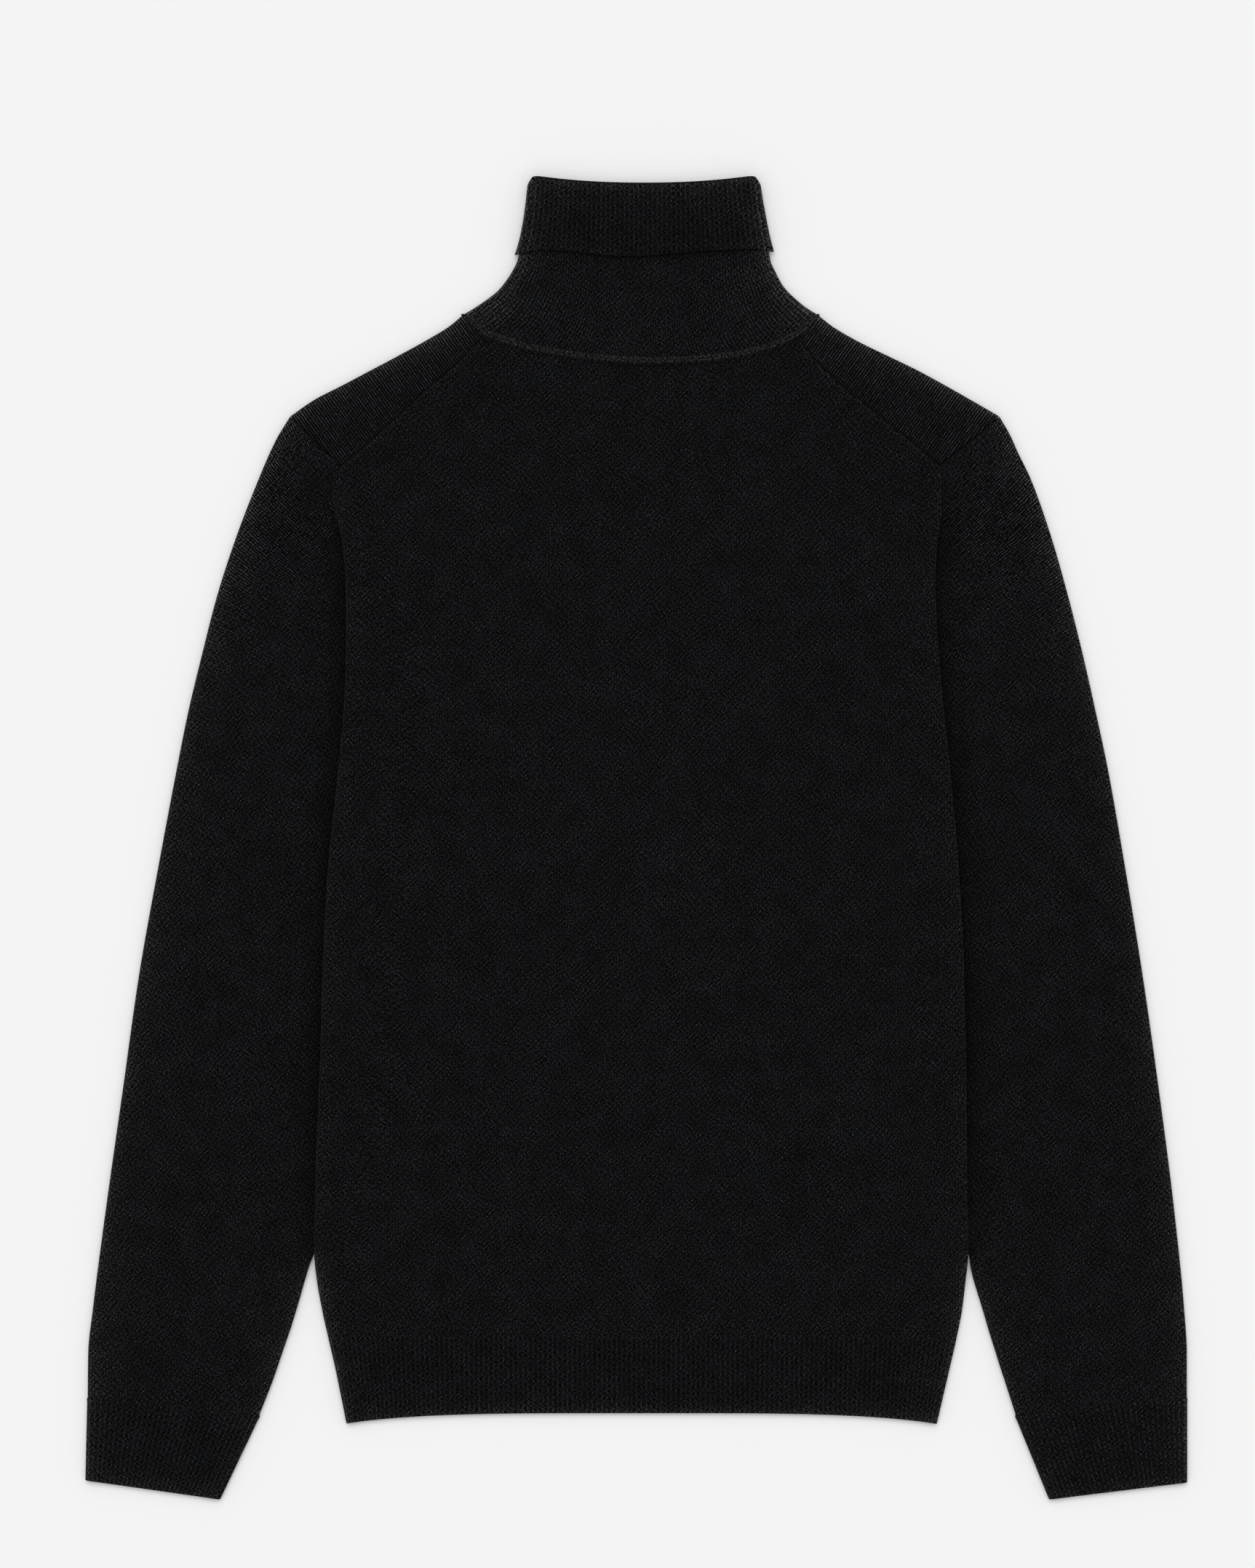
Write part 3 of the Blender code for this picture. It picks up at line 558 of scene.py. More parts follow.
class Wall:
    """A closed wall of cloth joined from patches that share their edges."""

    def __init__(self, name: str, patches: list[Patch], stride: int = 4) -> None:
        """Join the patches.

        Args:
            name: The piece's name.
            patches: Its stretches of cloth.
            stride: The hidden face takes every so many rows and columns.
        """
        self.name = name
        self.stride = stride
        self.faces: list[list[int]] = []
        self.corners: list[Array] = []
        points = np.concatenate([patch.outer.reshape(-1, 3) for patch in patches])
        _, first, index = np.unique(np.round(points, 3), axis=0, return_index=True, return_inverse=True)
        self.outer = points[first]
        self.inner = np.concatenate([patch.inner.reshape(-1, 3) for patch in patches])[first]
        self.knit = np.concatenate([patch.knit.reshape(-1, 2) for patch in patches])[first]
        self.nap = np.concatenate([patch.nap.ravel() for patch in patches])[first]
        pulls = [np.broadcast_to(patch.pull, patch.nap.shape).ravel() for patch in patches]
        self.pull = np.concatenate(pulls)[first]
        index = index.ravel()
        self.anchor = np.full(len(first), -1)
        hidden: list[tuple[Array, Array]] = []
        edges = []
        start = 0
        for patch in patches:
            rows, columns = patch.nap.shape
            number = index[start : start + rows * columns].reshape(rows, columns)
            start += rows * columns
            quads = self.add_grid(number, patch.knit)
            ends = quads[:, [0, 1, 2, 3, 1, 2, 3, 0]].reshape(-1, 2, 4)
            edges.append(ends.transpose(0, 2, 1).reshape(-1, 2))
            self.tie(number)
            kept = np.ix_(self.kept(rows), self.kept(columns))
            hidden.append((number[kept], patch.knit[kept]))
        self.add_rim(np.concatenate(edges))
        for number, knit in hidden:
            self.add_grid(number + len(self.outer), knit, flipped=True)

    def kept(self, count: int) -> Array:
        """The rows or columns that the hidden face takes."""
        return np.unique(np.append(np.arange(0, count, self.stride), count - 1))

    def tie(self, number: Array) -> None:
        """Tie each point on a patch's edge to the point of the hidden face beside it."""
        rows, columns = number.shape
        row = np.arange(rows) // self.stride * self.stride
        column = np.arange(columns) // self.stride * self.stride
        row[-1], column[-1] = rows - 1, columns - 1
        tied = number[np.ix_(row, column)]
        for edge in (np.s_[0, :], np.s_[-1, :], np.s_[:, 0], np.s_[:, -1]):
            self.anchor[number[edge]] = tied[edge]

    def add_grid(self, number: Array, knit: Array, flipped: bool = False) -> Array:
        """Add a grid's faces.

        Args:
            number: The point's number at each row and column.
            knit: The knit map there.
            flipped: Whether the faces look the other way.

        Returns:
            The faces' four corners each, those that close to a triangle included.
        """
        corners = ((0, 0), (0, 1), (1, 1), (1, 0))
        rows, columns = number.shape
        parts = [np.s_[r : rows - 1 + r, c : columns - 1 + c] for r, c in corners]
        quads = np.stack([number[part].ravel() for part in parts], axis=-1)
        maps = np.stack([knit[part].reshape(-1, 2) for part in parts], axis=1)
        order = slice(None, None, -1 if flipped else 1)
        whole = (quads != np.roll(quads, 1, axis=1)).all(axis=1)
        self.faces += quads[whole][:, order].tolist()
        self.corners.append(maps[whole][:, order].reshape(-1, 2))
        for quad, place in zip(quads[~whole][:, order], maps[~whole][:, order]):
            kept = quad != np.roll(quad, 1)
            if kept.sum() == 3:
                self.faces.append(quad[kept].tolist())
                self.corners.append(place[kept])
        return quads

    def add_rim(self, edges: Array) -> None:
        """Close the wall along its open edges."""
        edges = edges[edges[:, 0] != edges[:, 1]]
        count = len(self.outer)
        code = edges[:, 0] * count + edges[:, 1]
        back = edges[:, 1] * count + edges[:, 0]
        for a, b in edges[~np.isin(code, back)]:
            low, high = self.anchor[a], self.anchor[b]
            face = [b, a, low + count] if low == high else [b, a, low + count, high + count]
            self.faces.append([int(n) for n in face])
            self.corners.append(self.knit[[n % count for n in face]])

    def build(self) -> Object:
        """Make the wall's mesh and object.

        Returns:
            The new object.
        """
        points = np.concatenate([self.outer, self.inner])
        used, index = np.unique([n for face in self.faces for n in face], return_inverse=True)
        sizes = [len(face) for face in self.faces]
        starts = np.concatenate([[0], np.cumsum(sizes)[:-1]])
        faces = [index[s : s + n].tolist() for s, n in zip(starts, sizes)]
        nap, pull = (np.concatenate([values, values])[used] for values in (self.nap, self.pull))
        thing = knitted(self.name, points[used], faces, np.concatenate(self.corners), nap=nap, pull=pull)
        if self.inside_out(points[used], faces):
            thing.data.flip_normals()
        return thing

    @staticmethod
    def inside_out(points: Array, faces: list[list[int]]) -> bool:
        """Whether the faces enclose a negative volume."""
        fans = np.array([(f[0], f[k], f[k + 1]) for f in faces for k in range(1, len(f) - 1)])
        a, b, c = (points[fans[:, k]] for k in range(3))
        return float(np.einsum("ij,ij->", a, np.cross(b, c))) < 0


# Finishes


def linear(code: str) -> tuple[float, float, float, float]:
    """Turn an sRGB hex colour to linear light.

    Args:
        code: Six hex digits.

    Returns:
        Red, green, blue and an opacity of one.
    """
    levels = [int(code[k : k + 2], 16) / 255 for k in (0, 2, 4)]
    return (*(v / 12.92 if v <= 0.04045 else ((v + 0.055) / 1.055) ** 2.4 for v in levels), 1.0)


def add(tree: NodeTree, kind: str, inputs: dict | list | None = None, **settings: object) -> Node:
    """Add a shader node with its settings and links.

    Args:
        tree: The node tree.
        kind: The node's type, without the words that every shader node's type starts with.
        inputs: A value, another node or its output for each input, in order or by name or number.
        **settings: The node's own settings.

    Returns:
        The new node.
    """
    node = tree.nodes.new(f"ShaderNode{kind}")
    for name, value in settings.items():
        setattr(node, name, value)
    named = inputs if isinstance(inputs, dict) else dict(enumerate(inputs or []))
    for name, value in named.items():
        if isinstance(value, Node):
            value = value.outputs[0]
        if isinstance(value, Socket):
            tree.links.new(value, node.inputs[name])
        else:
            node.inputs[name].default_value = value
    return node


# What shows in the cloth, as its size in millimetres, its detail and its roughness: clouds where the
# nap was pressed differently, tufts of fibres that stand out or sink in, stretches where the loops'
# legs lie alike, and patches where the dye took unevenly
CLOUDS, TUFTS = (14.2857, 2.0, 0.6), (0.952381, 2.0, 0.7)
ALIKE, PATCHES = (3.7037, 1.0, 0.5), (8.33333, 2.0, 0.5)
# The loops' legs line up in slants 1.2 mm apart; their painted light and shade is drawn in slants
# 2.1 mm apart because finer ones don't show: how far they are apart across the garment and along
# it, in millimetres
SLANTS = (2.93, 2.98)


@dataclass(frozen=True)
class WoolKnit:
    """Fine merino wool, dyed black in the yarn, knitted, washed and pressed.

    Black wool gives back almost no light. Its colour carries painted shade between its loops and
    painted light on their tops, a soft cloudiness where the fibres lie differently, and a painted
    highlight along its folds, where fine fibres catch light.

    Attributes:
        name: The material's name.
        profile: The yarn's height at places across half of one unit of the knit map.
        slack_profile: The same where the cloth is slack along its wales.
        taut_profile: The same where it is pulled along them.
        colours: The sRGB colours of the dye where it took a little warmer and a little cooler.
        highlight_colour: The sRGB colour that a strong painted highlight along a fold turns to, which
        shows the light more than the dye.
        depth: How deep the stitches look, in metres.
        slant: How steeply the loops' legs rise, in courses for one unit of the knit map.
        course: How much the yarn dips between two courses, up to a half.
        slack_course: The same where the cloth is slack along its wales.
        slack_slant: How steeply the legs rise there.
        lower_wale: How high every second wale stands next to its neighbour where the cloth is taut.
        wander: How far the wales wander from their place, in units of the knit map.
        leg_shading: How strongly the loops' legs are painted lit along one slant and shaded along the
            other, as each lies a little differently.
        grain: How much the fibres differ in lightness.
        ground: The painted shade of the ground between the loops: how much light it gives back, next to
            the yarn's colour.
        top: The same for the painted light on the loops' tops.
        pulled_ground: What the ground's painted shade gives back where the cloth is pulled.
        pulled_top: What the tops' painted light gives back there.
        sheen: How strongly the wool's fibres light up at a grazing view.
    """

    name: str
    profile: Table
    slack_profile: Table
    taut_profile: Table
    colours: tuple[str, str] = ("131315", "121315")
    highlight_colour: str = "131313"
    depth: float = 0.0004
    slant: float = 0.9
    course: float = 0.32
    slack_course: float = 0.45
    slack_slant: float = 0.0
    lower_wale: float = 0.58
    wander: float = 1.4
    leg_shading: float = 3.4
    grain: float = 0.85
    ground: float = 0.3
    top: float = 1.25
    pulled_ground: float = 0.0
    pulled_top: float = 3.05
    sheen: float = 0.05

    def material(self) -> Material:
        """Make the material.

        Returns:
            The new material.
        """
        found = bpy.data.materials.new(self.name)
        found.use_nodes = True
        tree = found.node_tree
        tree.nodes.clear()
        height, taut, pulled = self.stitches(tree)
        finish = add(
            tree,
            "BsdfPrincipled",
            {
                "Base Color": self.tone(tree, height, taut, pulled),
                "Normal": add(tree, "Bump", {"Height": height, "Strength": 0.8, "Distance": self.depth}),
                "Roughness": 0.92,
                "Metallic": 0.0,
                "IOR": 1.54,
                "Specular IOR Level": 0.03,
                "Sheen Weight": self.sheen,
                "Sheen Roughness": 0.45,
                "Sheen Tint": (0.97, 0.96, 1.0, 1.0),
            },
        )
        add(tree, "OutputMaterial", {"Surface": finish})
        return found

    def stitches(self, tree: NodeTree) -> tuple[Node, Node, Node]:
        """Draw the loops: the profile across a wale, and legs that slant into each course.

        Args:
            tree: The node tree.

        Returns:
            The yarn's height, from 0 between the loops to 1 on top, how much the cloth is pulled along
            its wales, and how much it is pulled either way.
        """
        knit = add(tree, "UVMap", uv_map="knit")
        pull = add(tree, "Attribute", attribute_name="pull").outputs["Fac"]
        slack = add(tree, "Math", [pull, -1.0], operation="MULTIPLY", use_clamp=True)
        taut = add(tree, "Math", [pull, 1.0], operation="MULTIPLY", use_clamp=True)
        pulled = add(tree, "Math", [pull], operation="ABSOLUTE", use_clamp=True)
        # Where the cloth isn't pulled, the yarn wanders a part of a stitch from its place
        strays = add(tree, "TexNoise", {"Vector": knit, "Scale": 0.45, "Detail": 2.0}).outputs["Color"]
        wander = add(tree, "MapRange", [pulled, 0.0, 1.0, self.wander, 0.15])
        wander = add(tree, "VectorMath", {0: strays, "Scale": wander}, operation="SCALE")
        place = add(tree, "VectorMath", [wander, knit], operation="ADD")
        place = add(tree, "SeparateXYZ", [place]).outputs
        away = add(tree, "Math", [place["X"], 0.5], operation="PINGPONG")
        wales = []
        for profile in (self.profile, self.slack_profile, self.taut_profile):
            wale = add(tree, "ValToRGB", [away])
            wale.color_ramp.interpolation = "EASE"
            for position, _ in profile[2:]:
                wale.color_ramp.elements.new(position)
            for element, (position, level) in zip(wale.color_ramp.elements, profile):
                element.position = position
                element.color = (level, level, level, 1.0)
            wales.append(wale)
        # Taut wales lie in pairs, one a little higher than the other
        pair = add(tree, "Math", [place["X"], 0.5], operation="ADD")
        pair = add(tree, "Math", [pair, 1.0], operation="PINGPONG")
        pair = add(tree, "MapRange", [pair, 0.0, 1.0, self.lower_wale, 1.0])
        pair = add(tree, "Math", [wales[2], pair], operation="MULTIPLY")
        wale = add(tree, "Mix", {0: slack, 2: wales[0], 3: wales[1]})
        wale = add(tree, "Mix", {0: taut, 2: wale, 3: pair})
        slant = add(tree, "MapRange", [slack, 0.0, 1.0, self.slant, self.slack_slant])
        phase = add(tree, "Math", [away, slant, place["Y"]], operation="MULTIPLY_ADD")
        phase = add(tree, "Math", [phase, 2 * math.pi], operation="MULTIPLY")
        loop = add(tree, "Math", [phase], operation="COSINE")
        dip = add(tree, "MapRange", [slack, 0.0, 1.0, 1 - 2 * self.course, 1 - 2 * self.slack_course])
        loop = add(tree, "MapRange", [loop, -1.0, 1.0, dip, 1.0])
        course = add(tree, "Mix", {0: taut, 2: loop, 3: 1.0})
        height = add(tree, "Math", [wale, course], operation="MULTIPLY")
        narrow = add(tree, "MapRange", [slack, 0.0, 1.0, 1.0, 2.0])
        height = add(tree, "Math", [height, narrow], operation="POWER")
        return height, taut, pulled

    def tone(self, tree: NodeTree, height: Node, taut: Node, pulled: Node) -> Node:
        """Colour the yarn: painted shade between loops, cloudy over hand widths, a painted highlight at
        folds.

        Args:
            tree: The node tree.
            height: The yarn's height.
            taut: How much the cloth is pulled along its wales, which lays its loops in line.
            pulled: How much the cloth is pulled, which makes its lines stand out.

        Returns:
            The colour.
        """
        place = add(tree, "TexCoord").outputs["Object"]
        shows = []
        for size, detail, roughness in (CLOUDS, TUFTS, ALIKE, PATCHES):
            inputs = {"Vector": place, "Scale": 1 / (size * MM), "Detail": detail, "Roughness": roughness}
            shows.append(add(tree, "TexNoise", inputs))
        clouds, tufts, alike, patches = shows
        cloud = add(tree, "MapRange", [clouds, 0.3, 0.7, 0.76, 1.2])
        tuft = add(tree, "MapRange", [tufts, 0.3, 0.7, -1.0, 1.0])
        grain = add(tree, "MapRange", [taut, 0.0, 1.0, self.grain, 0.9 * self.grain])
        fibre = add(tree, "Math", [tuft, grain, 1.0], operation="MULTIPLY_ADD")
        # Painted light and shade on the loops' legs, lit along one slant and shaded along the other, in
        # stretches that come and go
        across, along = (2 * math.pi / (apart * MM) for apart in SLANTS)
        slants = []
        for rise in (along, -along):
            slant = add(tree, "VectorMath", [place, (across, rise, along)], operation="DOT_PRODUCT")
            slants.append(slant.outputs["Value"])
        sway = add(tree, "VectorMath", [add(tree, "CombineXYZ", slants)], operation="SINE")
        lean = add(tree, "VectorMath", [alike.outputs["Color"], (0.5, 0.5, 0.5)], operation="SUBTRACT")
        lie = add(tree, "VectorMath", [lean, sway], operation="DOT_PRODUCT").outputs["Value"]
        most = add(tree, "MapRange", [taut, 0.0, 1.0, 2 * self.leg_shading, 0.9 * self.leg_shading])
        lie = add(tree, "Math", [lie, most, 1.0], operation="MULTIPLY_ADD")
        # Painted shade in the ground between the loops and painted light on their tops
        ground = add(tree, "MapRange", [pulled, 0.0, 1.0, self.ground, self.pulled_ground])
        top = add(tree, "MapRange", [pulled, 0.0, 1.0, self.top, self.pulled_top])
        loops = add(tree, "MapRange", [height, 0.0, 1.0, ground, top])
        # Painted light and shade that each point carries: lighter above zero, darker below
        nap = add(tree, "Attribute", attribute_name="nap").outputs["Fac"]
        level = add(tree, "Math", [nap, 1.0], operation="ADD")
        for factor in (cloud, fibre, lie, loops):
            level = add(tree, "Math", [level, factor], operation="MULTIPLY")
        patchy = add(tree, "MapRange", [patches, 0.35, 0.65, 0.0, 1.0])
        warm, cool = (linear(code) for code in self.colours)
        dyed = add(tree, "Mix", {0: patchy, 6: warm, 7: cool}, data_type="RGBA").outputs[2]
        # A strong painted highlight turns the dyed colour to the neutral grey of lit fibres
        highlight_share = add(tree, "Math", [nap, 0.9], operation="MULTIPLY", use_clamp=True)
        dyed = add(tree, "Mix", {0: highlight_share, 6: dyed, 7: linear(self.highlight_colour)}, data_type="RGBA").outputs[2]
        return add(tree, "VectorMath", {0: dyed, "Scale": level}, operation="SCALE")


# Height of the yarn at distances from the groove between two wales, in wales
JERSEY_PROFILE = ((0.0, 0.0), (0.12, 0.3), (0.3, 1.0), (0.42, 0.95), (0.5, 0.7))
# Height of the yarn at distances from the middle of a raised wale, in ribs
RIB_PROFILE = ((0.0, 0.9), (0.08, 1.0), (0.17, 0.75), (0.27, 0.0), (0.38, 0.4), (0.5, 0.5))
# The same where both wales stand equally high
EVEN_RIB_PROFILE = ((0.0, 1.0), (0.1, 0.9), (0.25, 0.0), (0.4, 0.9), (0.5, 1.0))
# Jersey whose wales hardly show, and jersey whose wales stand out like cords
FLAT_PROFILE = ((0.0, 0.7), (0.12, 0.8), (0.5, 0.9))
CORD_PROFILE = ((0.0, 0.0), (0.2, 0.0), (0.35, 0.7), (0.5, 1.0))
# Height of the yarn at distances from the middle of the chain, in chain widths
CHAIN_PROFILE = ((0.0, 1.0), (0.25, 0.7), (0.5, 0.3))

JERSEY = WoolKnit("merino wool jersey, knitted and pressed", JERSEY_PROFILE, FLAT_PROFILE, CORD_PROFILE)
RIB = WoolKnit(
    "merino wool rib, knitted one and one",
    RIB_PROFILE,
    EVEN_RIB_PROFILE,
    RIB_PROFILE,
    slant=1.4,
    slack_slant=1.4,
    course=0.1,
    slack_course=0.1,
    wander=0.4,
    leg_shading=3.3,
    ground=0.2,
    top=1.18,
    lower_wale=1.0,
    pulled_ground=0.32,
    pulled_top=1.47,
)
LINKING = WoolKnit(
    "merino wool chain, linked by hand",
    CHAIN_PROFILE,
    CHAIN_PROFILE,
    CHAIN_PROFILE,
    depth=0.0002,
    course=0.2,
    top=1.6,
)


# Parts


def dressed(thing: Object, node: str, material: Material) -> Object:
    """Give an object its material and tell the frame what it is.

    Args:
        thing: The object.
        node: The solid that it stands for.
        material: What it is made of.

    Returns:
        The same object.
    """
    thing.data.materials.append(material)
    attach(thing, BODY)
    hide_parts(node)
    log.info("%s: %d faces", thing.name, len(thing.data.polygons))
    return thing


@dataclass
class Piece:
    """One piece of the sweater: its name, the solid it stands for and its cut."""

    name: str
    node: str
    slot: Slot
    cut: tuple[float, float]
    area: float
    held: str = "laid"
    rests_on: tuple[str, ...] = ()
    stride: int = 4

    def patches(self) -> list[Patch]:
        """Work out the piece's stretches of cloth."""
        raise NotImplementedError

    def dress(self, material: Material) -> Object:
        """Build the piece in its material and tell the frame what it is.

        Args:
            material: What it is made of.

        Returns:
            The piece's object.
        """
        return dressed(Wall(self.name, self.patches(), self.stride).build(), self.node, material)

    def declare(self, thing: Object, with_pieces: tuple[Object, ...] = ()) -> None:
        """Do nothing: the piece's object and those that go with it are not used here."""


@dataclass(frozen=True)
class Columns:
    """The body's columns: share of the width, angle round a side fold, and which side's fold."""

    share: Array
    angle: Array
    side: Array


@dataclass(frozen=True)
class BodyForm:
    """How the body's two layers lie, with the sleeves under its sides."""

    lift: float = CLOTH.flat + CLOTH.fold_swell + 0.4
    lift_level: float = 6.0
    lift_ramp: float = 24.0
    lift_top: tuple[float, float] = (172.0, 205.0)
    lift_foot: tuple[float, float] = (-280.0, -252.0)
    lean_reach: float = 28.0
    # The side folds come clear of the sleeves between these heights
    clear: tuple[float, float] = (-262.0, -246.0)
    fold_steps: int = 8
    edge_steps: int = 32
    neck_steps: int = 72

    def columns(self, inner_shares: Array) -> Columns:
        """Columns with a rounded fold at each side and plain ones between."""
        first = math.asin(CLOTH.side_gap / CLOTH.middle)
        angles = np.linspace(first, math.pi / 2, self.fold_steps + 1)
        none = np.zeros(len(inner_shares))
        return Columns(
            np.concatenate([np.zeros(len(angles)), inner_shares, np.ones(len(angles))]),
            np.concatenate([angles, none + math.pi / 2, angles[::-1]]),
            np.concatenate([np.full(len(angles), -1), none, np.full(len(angles), 1)]),
        )

    def panel_columns(self) -> Columns:
        """Columns of the back and front, close together beside the folds."""
        left, right = BODY_SIDE.end(Side.LEFT)[0], BODY_SIDE.end(Side.RIGHT)[0]
        neck = SADDLE.end(Side.LEFT)[0], SADDLE.end(Side.RIGHT)[0]
        edge = (np.arange(1, self.edge_steps + 1) / self.edge_steps) ** 1.35
        near = left + CLOTH.fold_width + (neck[0] - left - CLOTH.fold_width) * edge
        far = right - CLOTH.fold_width + (neck[1] - right + CLOTH.fold_width) * edge
        x = np.concatenate([near, np.linspace(*neck, self.neck_steps + 1)[1:-1], far[::-1]])
        return self.columns((x - left) / (right - left))

    def plan(self, columns: Columns, height: Array) -> tuple[Array, Array]:
        """Where the columns lie at a height, and how far each is in from the nearer side."""
        level = np.minimum(height, YOKE)
        left, right = BODY_SIDE.x(Side.LEFT, level), BODY_SIDE.x(Side.RIGHT, level)
        inset = CLOTH.fold_width * (1 - np.cos(columns.angle))
        # Below the seam the ribs run straight down, and only those beside the folds lean inwards
        seam_left, seam_right = (BODY_SIDE.x(side, np.maximum(level, HEM_SEAM)) for side in Side)
        x = mix(seam_left, seam_right, columns.share)
        from_left = np.exp(-(x - seam_left) / self.lean_reach)
        from_right = np.exp(-(seam_right - x) / self.lean_reach)
        x = x + (left - seam_left) * from_left + (right - seam_right) * from_right
        x = np.where(columns.side < 0, left + inset, x)
        x = np.where(columns.side > 0, right - inset, x)
        return x, np.minimum(x - left, right - x)

    def lifted(self, x: Array, height: Array) -> Array:
        """How far the sleeve under its side raises the body."""
        rise = step(height, *self.lift_foot) * (1 - step(height, *self.lift_top))
        lift = np.zeros(np.shape(x))
        for side in Side:
            inward = side.inward * (x - BODY_SIDE.x(side, np.minimum(height, YOKE)))
            level = np.maximum(TUCK.x(side, height), 0) + self.lift_level
            lift = np.maximum(lift, rise * (1 - step(inward - level, 0, self.lift_ramp)))
        return self.lift * lift

    def patch(
        self, layer: Layer, columns: Columns, height: Array, relief: Array, knit: Array, nap: Array
    ) -> Patch:
        """A grid of the back or front, with folds at its sides that open out towards the armhole.

        Args:
            layer: Which layer of the body.
            columns: Its columns.
            height: The height of each point, by row and column.
            relief: How far each outer point is raised.
            knit: The knit map.
            nap: The painted light and shade.

        Returns:
            The patch.
        """
        x, inward = self.plan(columns, height)
        curl = 1 - step(height, *CLOTH.fold_opens)
        turn = CLOTH.middle * np.sin(columns.angle)
        inner_turn = np.maximum((CLOTH.middle - CLOTH.wall) * np.sin(columns.angle), CLOTH.side_gap)
        if layer is Layer.BACK:
            flat = CLOTH.flat + curl * CLOTH.swell(inward)
            arc, arc_inner, flat_inner = CLOTH.middle + turn, CLOTH.middle + inner_turn, flat - CLOTH.wall
        else:
            flat = np.zeros(x.shape)
            arc, arc_inner, flat_inner = CLOTH.middle - turn, CLOTH.middle - inner_turn, flat + CLOTH.wall
        folded = np.where(columns.side != 0, curl, 0.0)
        lift = self.lifted(x, height)
        reach = CLOTH.wall * np.cos(columns.angle) * curl * (columns.side != 0)
        outer = np.stack([x, height, mix(flat, arc, folded) + lift + relief], axis=-1)
        inner_x = x - np.sign(columns.side) * reach
        inner = np.stack([inner_x, height, mix(flat_inner, arc_inner, folded) + lift], axis=-1)
        return Patch(outer, inner, knit, nap)

    @staticmethod
    def knit(x: Array, height: Array) -> Array:
        """Wales counted from the middle, and courses from the hem's seam."""
        return np.stack([(x - BODY_MIDDLE) / GAUGE.wale, (height - HEM_SEAM) / GAUGE.course], axis=-1)

    def painted_fold_light(self, inward: Array, height: Array) -> Array:
        """Painted highlight along the side folds, most where no sleeve lies under them."""
        free = 1 - step(height, *self.clear)
        # Over a sleeve, a band of painted light with painted shade right at the fold's edge
        shading_over_sleeve = 0.2 * bell(inward, 10.0) - 0.4 * bell(inward, 0.9)
        return mix(shading_over_sleeve, raised_nap(inward, 2.9, 0.85), free)


BODY_FORM = BodyForm()


def saddle_height(side: Side, x: Array) -> Array:
    """The height of a saddle seam, which runs from the armhole to the neck."""
    places, heights = SADDLE.points(side).T
    return smooth(side.inward * x, side.inward * places, heights)


